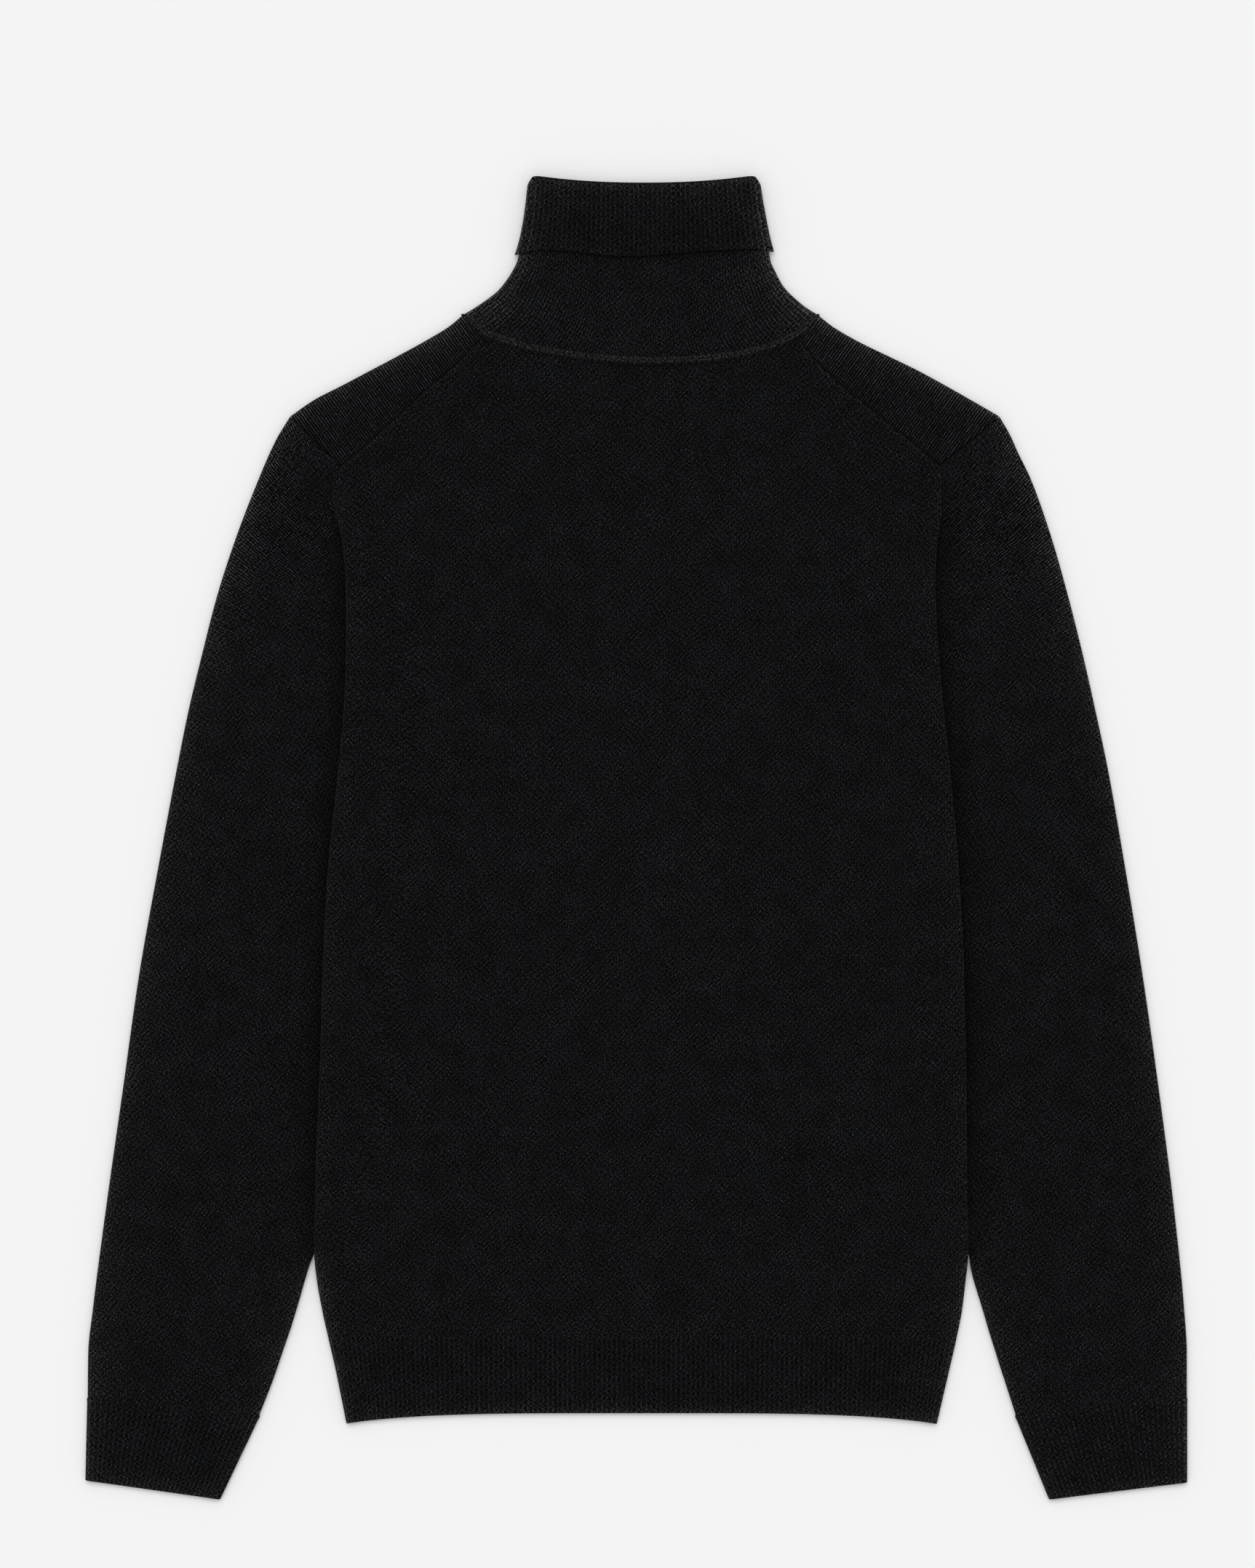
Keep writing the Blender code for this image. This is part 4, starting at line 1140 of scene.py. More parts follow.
@dataclass
class BackPanel(Piece):
    """The back panel, plain jersey from the hem band to the shoulder seams and the neckline."""

    unevenness: Unevenness = Unevenness(
        creases=(
            Crease((-148.0, 178.0), (-96.0, 96.0), 17.0, 0.35),
            Crease((152.0, 174.0), (112.0, 108.0), 15.0, 0.3),
            Crease((-132.0, -120.0), (-136.0, -262.0), 9.0, 0.45),
            Crease((-100.0, -168.0), (-104.0, -285.0), 11.0, 0.4),
            Crease((86.0, -130.0), (80.0, -250.0), 12.0, 0.35),
            Crease((116.0, -150.0), (121.0, -282.0), 10.0, 0.45),
            Crease((-60.0, 262.0), (44.0, 252.0), 14.0, 0.3),
            Crease((20.0, -40.0), (70.0, 20.0), 22.0, 0.25),
        )
    )
    # Painted shade of soft folds, which darkens the colour only
    pressed: tuple[Crease, ...] = (
        Crease((-115.0, -215.0), (-114.0, -297.0), 5.0, -0.2),
        Crease((98.0, -165.0), (97.0, -228.0), 6.0, -0.18),
    )
    seam_rows: int = 8
    long_rows: int = 184
    fan_rows: int = 40

    def top(self, x: Array) -> Array:
        """The height of the panel's upper edge: two saddle seams and the neckline between."""
        saddle = np.minimum(saddle_height(Side.LEFT, x), saddle_height(Side.RIGHT, x))
        return np.where(self.beside_neck(x), BACK_NECK.at(x), saddle) - CLOTH.seam

    def beside_neck(self, x: Array) -> Array:
        """Whether a place lies below the neckline rather than below a saddle seam."""
        return (x > BACK_NECK.places[0]) & (x < BACK_NECK.places[-1])

    def patches(self) -> list[Patch]:
        """One patch, its top rows fanned out to the shoulder seams and the neckline."""
        columns = BODY_FORM.panel_columns()
        seam_zone = 6.0
        low = close_steps(HEM_SEAM, HEM_SEAM + seam_zone, self.seam_rows)
        long = np.linspace(HEM_SEAM + seam_zone, FAN_START, self.long_rows + 1)[:-1]
        near_top = 0.94
        share = np.linspace(0, near_top, self.fan_rows - self.seam_rows + 1)[:-1]
        crowded = 1 - (1 - near_top) * (1 - np.arange(self.seam_rows + 1) / self.seam_rows) ** 1.7
        share = np.concatenate([np.zeros(len(low) + len(long)), share, crowded])[:, None]
        rows = mix(np.concatenate([low, long, np.full(self.fan_rows + 1, FAN_START)])[:, None], YOKE, share)
        top_x, _ = BODY_FORM.plan(columns, np.full(len(columns.share), YOKE))
        height = rows + share * (self.top(top_x)[None] - YOKE)
        x, inward = BODY_FORM.plan(columns, height)
        slope = np.gradient(self.top(top_x), top_x)
        to_top = (self.top(x) - height) / np.sqrt(1 + slope**2)
        free = step(inward, 4, 40) * step(to_top, 3, 30) * step(height, HEM_SEAM, HEM_SEAM + 25)
        relief = self.unevenness.rise(x, height) * free
        sewn = step(inward, 0.5, 3.0)
        relief = relief + (seam_roll(np.maximum(to_top, 0)) + 0.6 * seam_roll(height - HEM_SEAM)) * sewn
        nap = BODY_FORM.painted_fold_light(inward, height) * (1 - step(height, *CLOTH.fold_opens))
        # Painted highlight on the welt beside the top seams
        nap = nap + 0.55 * bell(to_top - 1.4, 0.9) * sewn
        # Painted shade of the soft folds
        nap = nap + sum(crease.rise(x, height) for crease in self.pressed)
        # Painted shadow below the neck linking, deepest near the middle
        linking_shadow = 0.3 + 0.35 * bell(x - 9.0, 34.0)
        nap = nap - linking_shadow * bell(to_top - 2.7, 0.9) * self.beside_neck(x)
        return [BODY_FORM.patch(Layer.BACK, columns, height, relief, BODY_FORM.knit(x, height), nap)]


def front_neckline(count: int) -> Array:
    """The front neckline, a deep curve between the high shoulder points.

    Args:
        count: How many points it has.

    Returns:
        Its points from left to right, seen from above.
    """
    depth = 88.0
    share = np.linspace(0, 1, count)
    x = mix(SHOULDER.end(Side.LEFT)[0], SHOULDER.end(Side.RIGHT)[0], share)
    y = SHOULDER.end(Side.LEFT)[1] - depth * np.sqrt(1 - (2 * share - 1) ** 2)
    return np.stack([x, y], axis=-1)


@dataclass(frozen=True)
class ShoulderWrap:
    """The part of the front panel that is folded over a shoulder and lies on the back."""

    side: Side
    fold_steps: int = 16
    flat_rows: int = 24
    fine_rows: int = 41
    # The wales run down from the shoulder at this angle below the horizontal
    wale_angle: float = 54.0

    def neck_end(self, share: Array) -> Array:
        """The short edge at the neck, from the shoulder point to the neck corner."""
        start, end = SHOULDER.end(self.side), SADDLE.end(self.side)
        share = share[:, None]
        control = np.array(NECK_CORNER[self.side])
        return (1 - share) ** 2 * start + 2 * share * (1 - share) * control + share**2 * end

    def plan(self, t: Array) -> Array:
        """The wrap seen from above, in rows from its fold to its seam, with columns at t."""
        heights = SHOULDER.points(self.side)[:, 1]
        fold = SHOULDER.point(self.side, mix(heights[0], heights[-1], t))
        ends = SADDLE.x(self.side, np.array([YOKE, SADDLE.end(self.side)[1]]))
        seam_x = mix(ends[0], ends[1], t)
        seam = np.stack([seam_x, saddle_height(self.side, seam_x)], axis=-1)
        share = np.linspace(0, 1, self.fine_rows)
        armhole = mix(fold[0], seam[0], share[:, None])
        return filled(fold, seam, armhole, self.neck_end(share), t, share)

    def patch(self, t: Array) -> Patch:
        """The fold over the shoulder and the cloth on the back.

        Args:
            t: The columns' places, from the armhole at 0 to the neck at 1.

        Returns:
            The patch, in rows from the fold's underside to the saddle seam.
        """
        plan = self.plan(t)
        length = np.linalg.norm(plan[-1] - plan[0], axis=-1)
        inward = unit(plan[3] - plan[0])
        outer, inner, travel = [], [], []
        for angle in np.linspace(-math.pi / 2, math.pi / 2, self.fold_steps + 1):
            place = plan[0] + inward * CLOTH.fold_width * (1 - math.cos(angle))
            outer.append(with_height(place, CLOTH.middle * (1 + math.sin(angle))))
            place = place + inward * CLOTH.wall * math.cos(angle)
            inner.append(with_height(place, CLOTH.middle + (CLOTH.middle - CLOTH.wall) * math.sin(angle)))
            travel.append(np.full(len(t), CLOTH.fold_width * max(1 - math.cos(angle), 0)))
        start = CLOTH.fold_width / length
        shares = 1 - (1 - np.arange(1, self.flat_rows + 1) / self.flat_rows) ** 1.5
        column = np.arange(len(t))
        for share in shares:
            at = mix(start, 1.0, share) * (self.fine_rows - 1)
            low = np.minimum(at.astype(int), self.fine_rows - 2)
            place = mix(plan[low, column], plan[low + 1, column], (at - low)[:, None])
            away = np.linalg.norm(place - plan[0], axis=-1)
            top = CLOTH.flat + CLOTH.swell(away)
            outer.append(with_height(place, top + seam_roll(0.9 * (length - away))))
            inner.append(with_height(place, top - CLOTH.wall))
            travel.append(away)
        outer = np.array(outer)
        from_armhole = np.abs(outer[..., 0] - outer[:, :1, 0]) * math.sqrt(2)
        on_top = np.array([k > self.fold_steps // 2 for k in range(len(outer))])[:, None]
        outer[..., 2] += np.where(on_top, 0.8 * seam_roll(from_armhole), 0.0)
        turn = math.radians(self.wale_angle)
        along = np.array([math.cos(turn) * self.side.inward, -math.sin(turn)])
        across = np.array([-along[1], along[0]])
        plan_view = outer[..., :2]
        knit = np.stack([plan_view @ across / GAUGE.wale, plan_view @ along / GAUGE.course], axis=-1)
        travel = np.array(travel)
        # Painted shade in the seam grooves at the saddle and the armhole
        sunk = 0.6 * bell(length - travel, 0.8) + 0.5 * bell(from_armhole, 0.9)
        nap = (raised_nap(travel, 2.9, 1.15) - 0.1 - sunk) * on_top
        return Patch(outer, np.array(inner), knit, nap, pull=0.9)


def mirrored(patch: Patch) -> Patch:
    """The same patch with its columns counted from the other side."""
    grids = (patch.outer, patch.inner, patch.knit, patch.nap)
    return Patch(*(grid[:, ::-1] for grid in grids), patch.pull)


def shoulder_wraps(x: Array) -> dict[Side, Patch]:
    """Both shoulder wraps, with columns that continue those at x on the yoke line."""
    wraps = {}
    for side in Side:
        start, end = SADDLE.x(side, np.array([YOKE, SADDLE.end(side)[1]]))
        t = (x - start) / (end - start)
        t = t[(t <= 1 + 1e-6) & (t >= -1e-6)]
        wraps[side] = ShoulderWrap(side).patch(np.sort(t))
    wraps[Side.RIGHT] = mirrored(wraps[Side.RIGHT])
    return wraps


@dataclass
class FrontPanel(Piece):
    """The front panel, face down, with both of its shoulders wrapped over to the back."""

    long_rows: int = 60
    fan_rows: int = 12

    def patches(self) -> list[Patch]:
        """The lower layer, the part above the yoke, and the two wraps."""
        columns = BODY_FORM.panel_columns()
        rows = np.linspace(HEM_SEAM, YOKE, self.long_rows + 1)
        height = np.repeat(rows[:, None], len(columns.share), axis=1)
        x, _ = BODY_FORM.plan(columns, height)
        none = np.zeros(x.shape)
        lower = BODY_FORM.patch(Layer.FRONT, columns, height, none, BODY_FORM.knit(x, height), none)
        wraps = shoulder_wraps(lower.outer[-1, :, 0])
        return [lower, self.fan(lower, wraps), wraps[Side.LEFT], wraps[Side.RIGHT]]

    def fan(self, lower: Patch, wraps: dict[Side, Patch]) -> Patch:
        """The lower layer above the yoke, whose columns run up to the shoulders and the neckline."""
        start = lower.outer[-1, :, :2]
        left, right = wraps[Side.LEFT].outer[0, :, :2], wraps[Side.RIGHT].outer[0, :, :2]
        neck = front_neckline(len(start) - len(left) - len(right) + 2)[1:-1]
        end = np.concatenate([left, neck, right])
        share = np.linspace(0, 1, self.fan_rows + 1)[:, None, None]
        plan = mix(start[None], end[None], share)
        knit = plan / np.array([GAUGE.wale, GAUGE.course])
        return Patch(with_height(plan, 0.0), with_height(plan, CLOTH.wall), knit, np.zeros(plan.shape[:2]))


# Flattened tubes: sleeves and cuffs


def inner_edge(side: Side, height: Array) -> Array:
    """A sleeve's inner edge seen from above, under the body's side or beside it."""
    return np.stack([BODY_SIDE.x(side, height) + TUCK.x(side, height) * side.inward, height], axis=-1)


@dataclass(frozen=True)
class Tube:
    """A flattened tube between an outer and an inner edge, in rings that start at its outer edge.

    Attributes:
        outside: The outer edge's points, seen from above.
        inside: The inner edge's points.
        fold_inside: The width of the inner fold at each ring.
        swell_inside: How much higher the cloth stands beside it.
        top_shares: Where the upper layer's columns lie between the folds.
        fold_steps: Columns round each fold.
        under_steps: Columns across the layer below.
    """

    outside: Array
    inside: Array
    fold_inside: Array
    swell_inside: Array
    top_shares: Array
    fold_steps: int = 16
    under_steps: int = 16

    def rings(self) -> tuple[Array, Array, Array, Array]:
        """Work out the rings.

        Returns:
            The outer points, their outward directions, the inner points, and how far each is round
            the tube from its outer edge, counted over the top.
        """
        across = unit(self.inside - self.outside)
        width = np.linalg.norm(self.inside - self.outside, axis=-1)
        half = np.linspace(-math.pi / 2, math.pi / 2, self.fold_steps + 1)
        fold_outside = np.full(len(width), CLOTH.fold_width)
        outer, normal, inner = [], [], []

        def add_fold(corner: Array, inward: Array, fold: Array, swell: Array, angles: Array) -> None:
            """Add the columns round a fold."""
            middle = 0.5 * (CLOTH.flat + swell)
            hollow = np.maximum(fold, CLOTH.wall + 0.2)
            for angle in angles:
                place = corner + inward * (fold * (1 - math.cos(angle)))[:, None]
                outer.append(with_height(place, middle + middle * math.sin(angle)))
                normal.append(with_height(-inward * math.cos(angle), math.sin(angle)))
                place = corner + inward * (hollow - (hollow - CLOTH.wall) * math.cos(angle))[:, None]
                inner.append(with_height(place, middle + (middle - CLOTH.wall) * math.sin(angle)))

        def add_flat(order: Array, top: bool) -> None:
            """Add the columns across one layer."""
            for share in order:
                at = mix(fold_outside, width - self.fold_inside, share)
                far = self.swell_inside * (1 - step(width - at, CLOTH.fold_width, CLOTH.swell_reach))
                height = CLOTH.flat + CLOTH.swell(at) + far
                place = self.outside + across * at[:, None]
                outer.append(with_height(place, height if top else 0.0))
                normal.append(with_height(np.zeros_like(place), 1.0 if top else -1.0))
                inner.append(with_height(place, height - CLOTH.wall if top else CLOTH.wall))

        under = np.linspace(1, 0, self.under_steps + 1)[1:-1]
        swell_outside = np.full(len(width), CLOTH.fold_swell)
        add_fold(self.outside, across, fold_outside, swell_outside, half)
        add_flat(self.top_shares, top=True)
        add_fold(self.inside, -across, self.fold_inside, self.swell_inside, half[::-1])
        add_flat(under, top=False)
        for points in (outer, normal, inner):
            points.append(points[0])
        outer, normal, inner = (np.stack(points, axis=1) for points in (outer, normal, inner))
        steps = np.linalg.norm(np.diff(outer, axis=1), axis=-1)
        round_it = np.concatenate([np.zeros((len(width), 1)), np.cumsum(steps, axis=1)], axis=1)
        return outer, normal, inner, round_it - round_it[:, [self.fold_steps // 2]]


@dataclass
class Sleeve(Piece):
    """A jersey sleeve, folded down beside the body with its inner edge under the body's side."""

    side: Side = Side.LEFT
    unevenness: Unevenness = Unevenness()
    rim: tuple[float, float] = (2.8, 1.15)
    cap_fold: float = 0.5
    cap_blend: tuple[float, float] = (180.0, 215.0)
    # Stretches along the sleeve, from its top, where the cap's brighter painted highlight on its fold
    # and its slack cloth end and where its inner fold comes out from under the body
    cap_highlight: tuple[float, float] = (60.0, 200.0)
    cap_slack: tuple[float, float] = (70.0, 190.0)
    comes_out: tuple[float, float] = (500.0, 530.0)
    # How deep the shade beside the body is, by height
    shade: Line = Line((
        (-262.0, 0.0),
        (-246.0, 0.3),
        (-225.0, 0.6),
        (-190.0, 0.85),
        (-100.0, 1.0),
        (60.0, 1.0),
        (137.0, 0.9),
        (177.0, 0.75),
        (197.0, 0.62),
        (209.0, 0.45),
        (226.0, 0.0),
    ))
    seam_rows: int = 8
    long_rows: int = 216

    def rows(self) -> Array:
        """The heights of the rings' outer ends, close together at both seams."""
        zone = 6.0
        top = close_steps(SLEEVE_ENDS[0], SLEEVE_ENDS[0] - zone, self.seam_rows)
        long = np.linspace(SLEEVE_ENDS[0] - zone, SLEEVE_ENDS[1] + zone, self.long_rows + 1)[:-1]
        low = close_steps(SLEEVE_ENDS[1], SLEEVE_ENDS[1] + zone, self.seam_rows)
        return np.concatenate([top, long, [SLEEVE_ENDS[1] + zone], low[::-1]])

    def patches(self) -> list[Patch]:
        """One patch round the sleeve, from the armhole to the cuff."""
        rows = self.rows()
        low = rows - SLEEVE_DROP.at(rows)
        outside, inside = SLEEVE_OUTER.point(self.side, rows), inner_edge(self.side, low)
        sewn = step(low, *self.cap_blend)
        near = close_steps(0.0, 0.2, 10, 1.3)[1:]
        shares = np.concatenate([near, np.linspace(0.2, 0.8, 28), 1 - near[::-1]])
        fold_inside = mix(CLOTH.fold_width, self.cap_fold, sewn)
        tube = Tube(outside, inside, fold_inside, CLOTH.fold_swell * (1 - sewn), shares)
        outer, normal, inner, round_it = tube.rings()
        along = travelled(outside)[:, None]
        width = np.linalg.norm(inside - outside, axis=-1)[:, None]
        on_top = step(normal[..., 2], 0.2, 0.9)
        free = step(round_it, 5, 24) * step(width - round_it, 30, 52) * on_top
        free = free * step(along, 8, 45) * step(along[-1] - along, 4, 40)
        relief = self.unevenness.rise(outer[..., 0], outer[..., 1]) * free
        relief = relief + seam_roll(along) * on_top + 0.6 * seam_roll(along[-1] - along) * on_top
        outer = outer + normal * relief[..., None]
        courses = np.broadcast_to(along / GAUGE.course, round_it.shape)
        knit = np.stack([round_it / GAUGE.wale, courses], axis=-1)
        # A brighter painted highlight along the fold near the cap
        painted_fold_light = 1 - step(along, *self.cap_highlight)
        nap = mix(raised_nap(round_it, *self.rim), raised_nap(round_it, 3.9, 1.8), painted_fold_light)
        nap = nap * step(normal[..., 2], -0.9, 0.0) + 0.03
        # Painted highlight on the inner fold where it comes out from under the body
        nap = nap + raised_nap(width - round_it, 1.0, 0.7) * step(along, *self.comes_out) * on_top
        x, y = outer[..., 0], outer[..., 1]
        from_body = np.maximum(self.side.inward * (BODY_SIDE.x(self.side, y) - x), 0)
        # Painted shadow that the body's side casts on the sleeve beside it
        nap = nap - 0.6 * np.exp(-((from_body / 9.5) ** 1.3)) * self.shade.at(y) * on_top
        # Painted highlight on the welt beside the armhole seam and painted shade in its groove
        nap = nap + (0.12 * bell(along - 1.8, 0.9) - 0.55 * bell(along, 0.9)) * on_top
        cap = 1 - step(along, *self.cap_slack)
        nap = nap - 0.09 * cap
        knit[..., 1] -= 0.5 * knit[..., 0] * cap
        return [Patch(outer, inner, knit, nap, pull=-0.9 * cap)]


def rib_height(ribs: Array, courses: Array, relief: float) -> Array:
    """The relief of one and one rib: a raised wale of loops and a sunk one.

    Args:
        ribs: Ribs counted across, whole on top of a raised wale.
        courses: Courses counted along.
        relief: The height between the two.

    Returns:
        The height at each point, half of the relief up or down.
    """
    raised = np.cos(2 * np.pi * ribs)
    rounded = np.sign(raised) * np.abs(raised) ** 0.8
    loops = 0.06 * np.cos(2 * np.pi * courses) * np.clip(raised, 0, 1)
    return 0.5 * relief * (rounded + loops)


def rib_rows(length: float, course_points: int) -> Array:
    """Where a rib band's rows lie, in shares of its length, with some more close to both ends."""
    courses = round(length / GAUGE.rib_course)
    close = np.array([0.15, 0.4, 0.75]) / length
    return np.unique(np.concatenate([np.linspace(0, 1, courses * course_points + 1), 1 - close, close]))


def rib_start(ribs: Array, along: Array, relief: float) -> tuple[Array, Array]:
    """The relief of ribs that rise out of a seam, where the first loop of each stands up.

    Args:
        ribs: Ribs counted across.
        along: Distance from the seam.
        relief: The height between the two wales.

    Returns:
        The height at each point, and how far it is on a first loop.
    """
    first = bell(along - 1.2, 0.8) * np.clip(np.cos(2 * np.pi * ribs), 0, 1)
    height = rib_height(ribs, along / GAUGE.rib_course, relief)
    return height * step(along, -0.2, 0.9) + 0.22 * first, first


def rounded_lip(from_end: Array, drop: float = 0.6, radius: float = 0.75) -> Array:
    """How far an open edge of rib is rounded down at a distance from it."""
    return drop * (1 - np.sqrt(1 - (1 - np.clip(from_end / radius, 0, 1)) ** 2))


@dataclass
class Cuff(Piece):
    """A rib cuff that draws the sleeve's end in."""

    side: Side = Side.LEFT
    ribs: int = 30
    rib_points: int = 6
    course_points: int = 3
    relief: float = 0.5

    def patches(self) -> list[Patch]:
        """One patch round the cuff, from the sleeve's seam to the open end."""
        top = SLEEVE_ENDS[1] - CLOTH.seam
        start = SLEEVE_OUTER.point(self.side, top)
        start_inside = inner_edge(self.side, top - SLEEVE_DROP.at(SLEEVE_ENDS[1]))
        end, end_inside = (np.array(corner) for corner in CUFF_END[self.side])
        length = float(np.linalg.norm(end - start))
        share = rib_rows(length, self.course_points)
        outside = mix(start, end, share[:, None])
        inside = mix(start_inside, end_inside, share[:, None])
        shares = np.linspace(0, 1, self.ribs * self.rib_points + 1)[1:-1]
        none = np.zeros(len(share))
        tube = Tube(outside, inside, none + CLOTH.fold_width, none + CLOTH.fold_swell, shares)
        outer, normal, inner, round_it = tube.rings()
        width = np.linalg.norm(inside - outside, axis=-1)[:, None]
        fold_length = round_it[:, [tube.fold_steps]]
        flat_width = width - 2 * CLOTH.fold_width
        ribs = (round_it - fold_length) / flat_width * self.ribs
        along = np.broadcast_to(share[:, None] * length, ribs.shape)
        on_top = step(normal[..., 2], -0.75, 0.1)
        relief, first = rib_start(ribs, along, self.relief)
        relief = (relief - rounded_lip(length - along)) * on_top
        outer = outer + normal * relief[..., None]
        knit = np.stack([ribs, along / GAUGE.rib_course], axis=-1)
        # Painted highlight along the folds, the inner edge, the open end and the first loops of the ribs
        nap = raised_nap(round_it, 3.0, 0.9) * step(normal[..., 2], -0.9, 0.0)
        nap = nap + raised_nap(width - round_it, 0.7, 0.5) * on_top
        nap = nap + (raised_nap(length - along, 1.3, 0.4) + 0.6 * first) * on_top
        return [Patch(outer, inner, knit, nap)]


@dataclass
class HemBand(Piece):
    """One side of the rib band at the hem."""

    layer: Layer = Layer.BACK
    ribs: int = 126
    rib_points: int = 6
    course_points: int = 3
    hidden_columns: int = 96
    middle: float = -347.8
    corner_drop: float = 5.3
    half_width: float = 172.0

    def edge(self, x: Array) -> Array:
        """The height of the lower edge, which drops a little towards both corners."""
        return self.middle - self.corner_drop * np.abs((x - BODY_MIDDLE) / self.half_width) ** 4

    def patches(self) -> list[Patch]:
        """One patch from the seam down to the edge."""
        shows = self.layer is Layer.BACK
        count = self.ribs * self.rib_points if shows else self.hidden_columns
        body_width = BODY_SIDE.end(Side.RIGHT)[0] - BODY_SIDE.end(Side.LEFT)[0]
        margin = CLOTH.fold_width / body_width
        inner_shares = np.linspace(margin, 1 - margin, count + 1)
        columns = BODY_FORM.columns(inner_shares[1:-1])
        share = rib_rows(HEM_SEAM - self.middle, self.course_points if shows else 1)[:, None]
        top = HEM_SEAM - (CLOTH.seam if shows else 0.02)
        low_x, _ = BODY_FORM.plan(columns, np.full(len(columns.share), self.middle))
        height = mix(top, self.edge(low_x)[None], share)
        x, inward = BODY_FORM.plan(columns, height)
        column_ribs = (columns.share - margin) / (1 - 2 * margin) * self.ribs
        fold_ribs = (1 - columns.angle / (math.pi / 2)) * 1.2
        column_ribs = np.where(columns.side < 0, -fold_ribs, column_ribs)
        column_ribs = np.where(columns.side > 0, self.ribs + fold_ribs, column_ribs)
        ribs = np.broadcast_to(column_ribs, x.shape)
        along = top - height
        to_edge = height - self.edge(low_x)[None]
        relief = np.zeros(x.shape)
        nap = BODY_FORM.painted_fold_light(inward, height)
        if shows:
            upright = step(np.sin(columns.angle), 0.15, 0.9)
            relief, first = rib_start(ribs, along, GAUGE.rib_relief)
            relief = relief * upright - rounded_lip(to_edge)
            # Painted highlight on the first loops of the ribs and along the lower edge
            nap = nap + 0.5 * first + raised_nap(to_edge, 2.2, 0.25)
        knit = np.stack([ribs, along / GAUGE.rib_course], axis=-1)
        return [BODY_FORM.patch(self.layer, columns, height, relief, knit, nap)]


# Collar


def neck_line(layer: Layer) -> Array:
    """The edge of the front and back panels round the neck hole, from left to right.

    Args:
        layer: Back, over the shoulder wraps, or front, under them.

    Returns:
        The points of the edge, seen from above.
    """
    ends = np.array([BACK_NECK.places[0], BACK_NECK.places[-1]])
    wraps = shoulder_wraps(ends)
    half = ShoulderWrap(Side.LEFT).fold_steps // 2
    left = wraps[Side.LEFT].outer[:, -1, :2]
    right = wraps[Side.RIGHT].outer[::-1, 0, :2]
    if layer is Layer.FRONT:
        return np.concatenate([left[half::-1], front_neckline(60)[1:-1], right[: -half - 2 : -1]])
    x = np.linspace(ends[0], ends[1], 60)[1:-1]
    return np.concatenate([left[half:], np.stack([x, BACK_NECK.at(x)], axis=-1), right[:-half]])


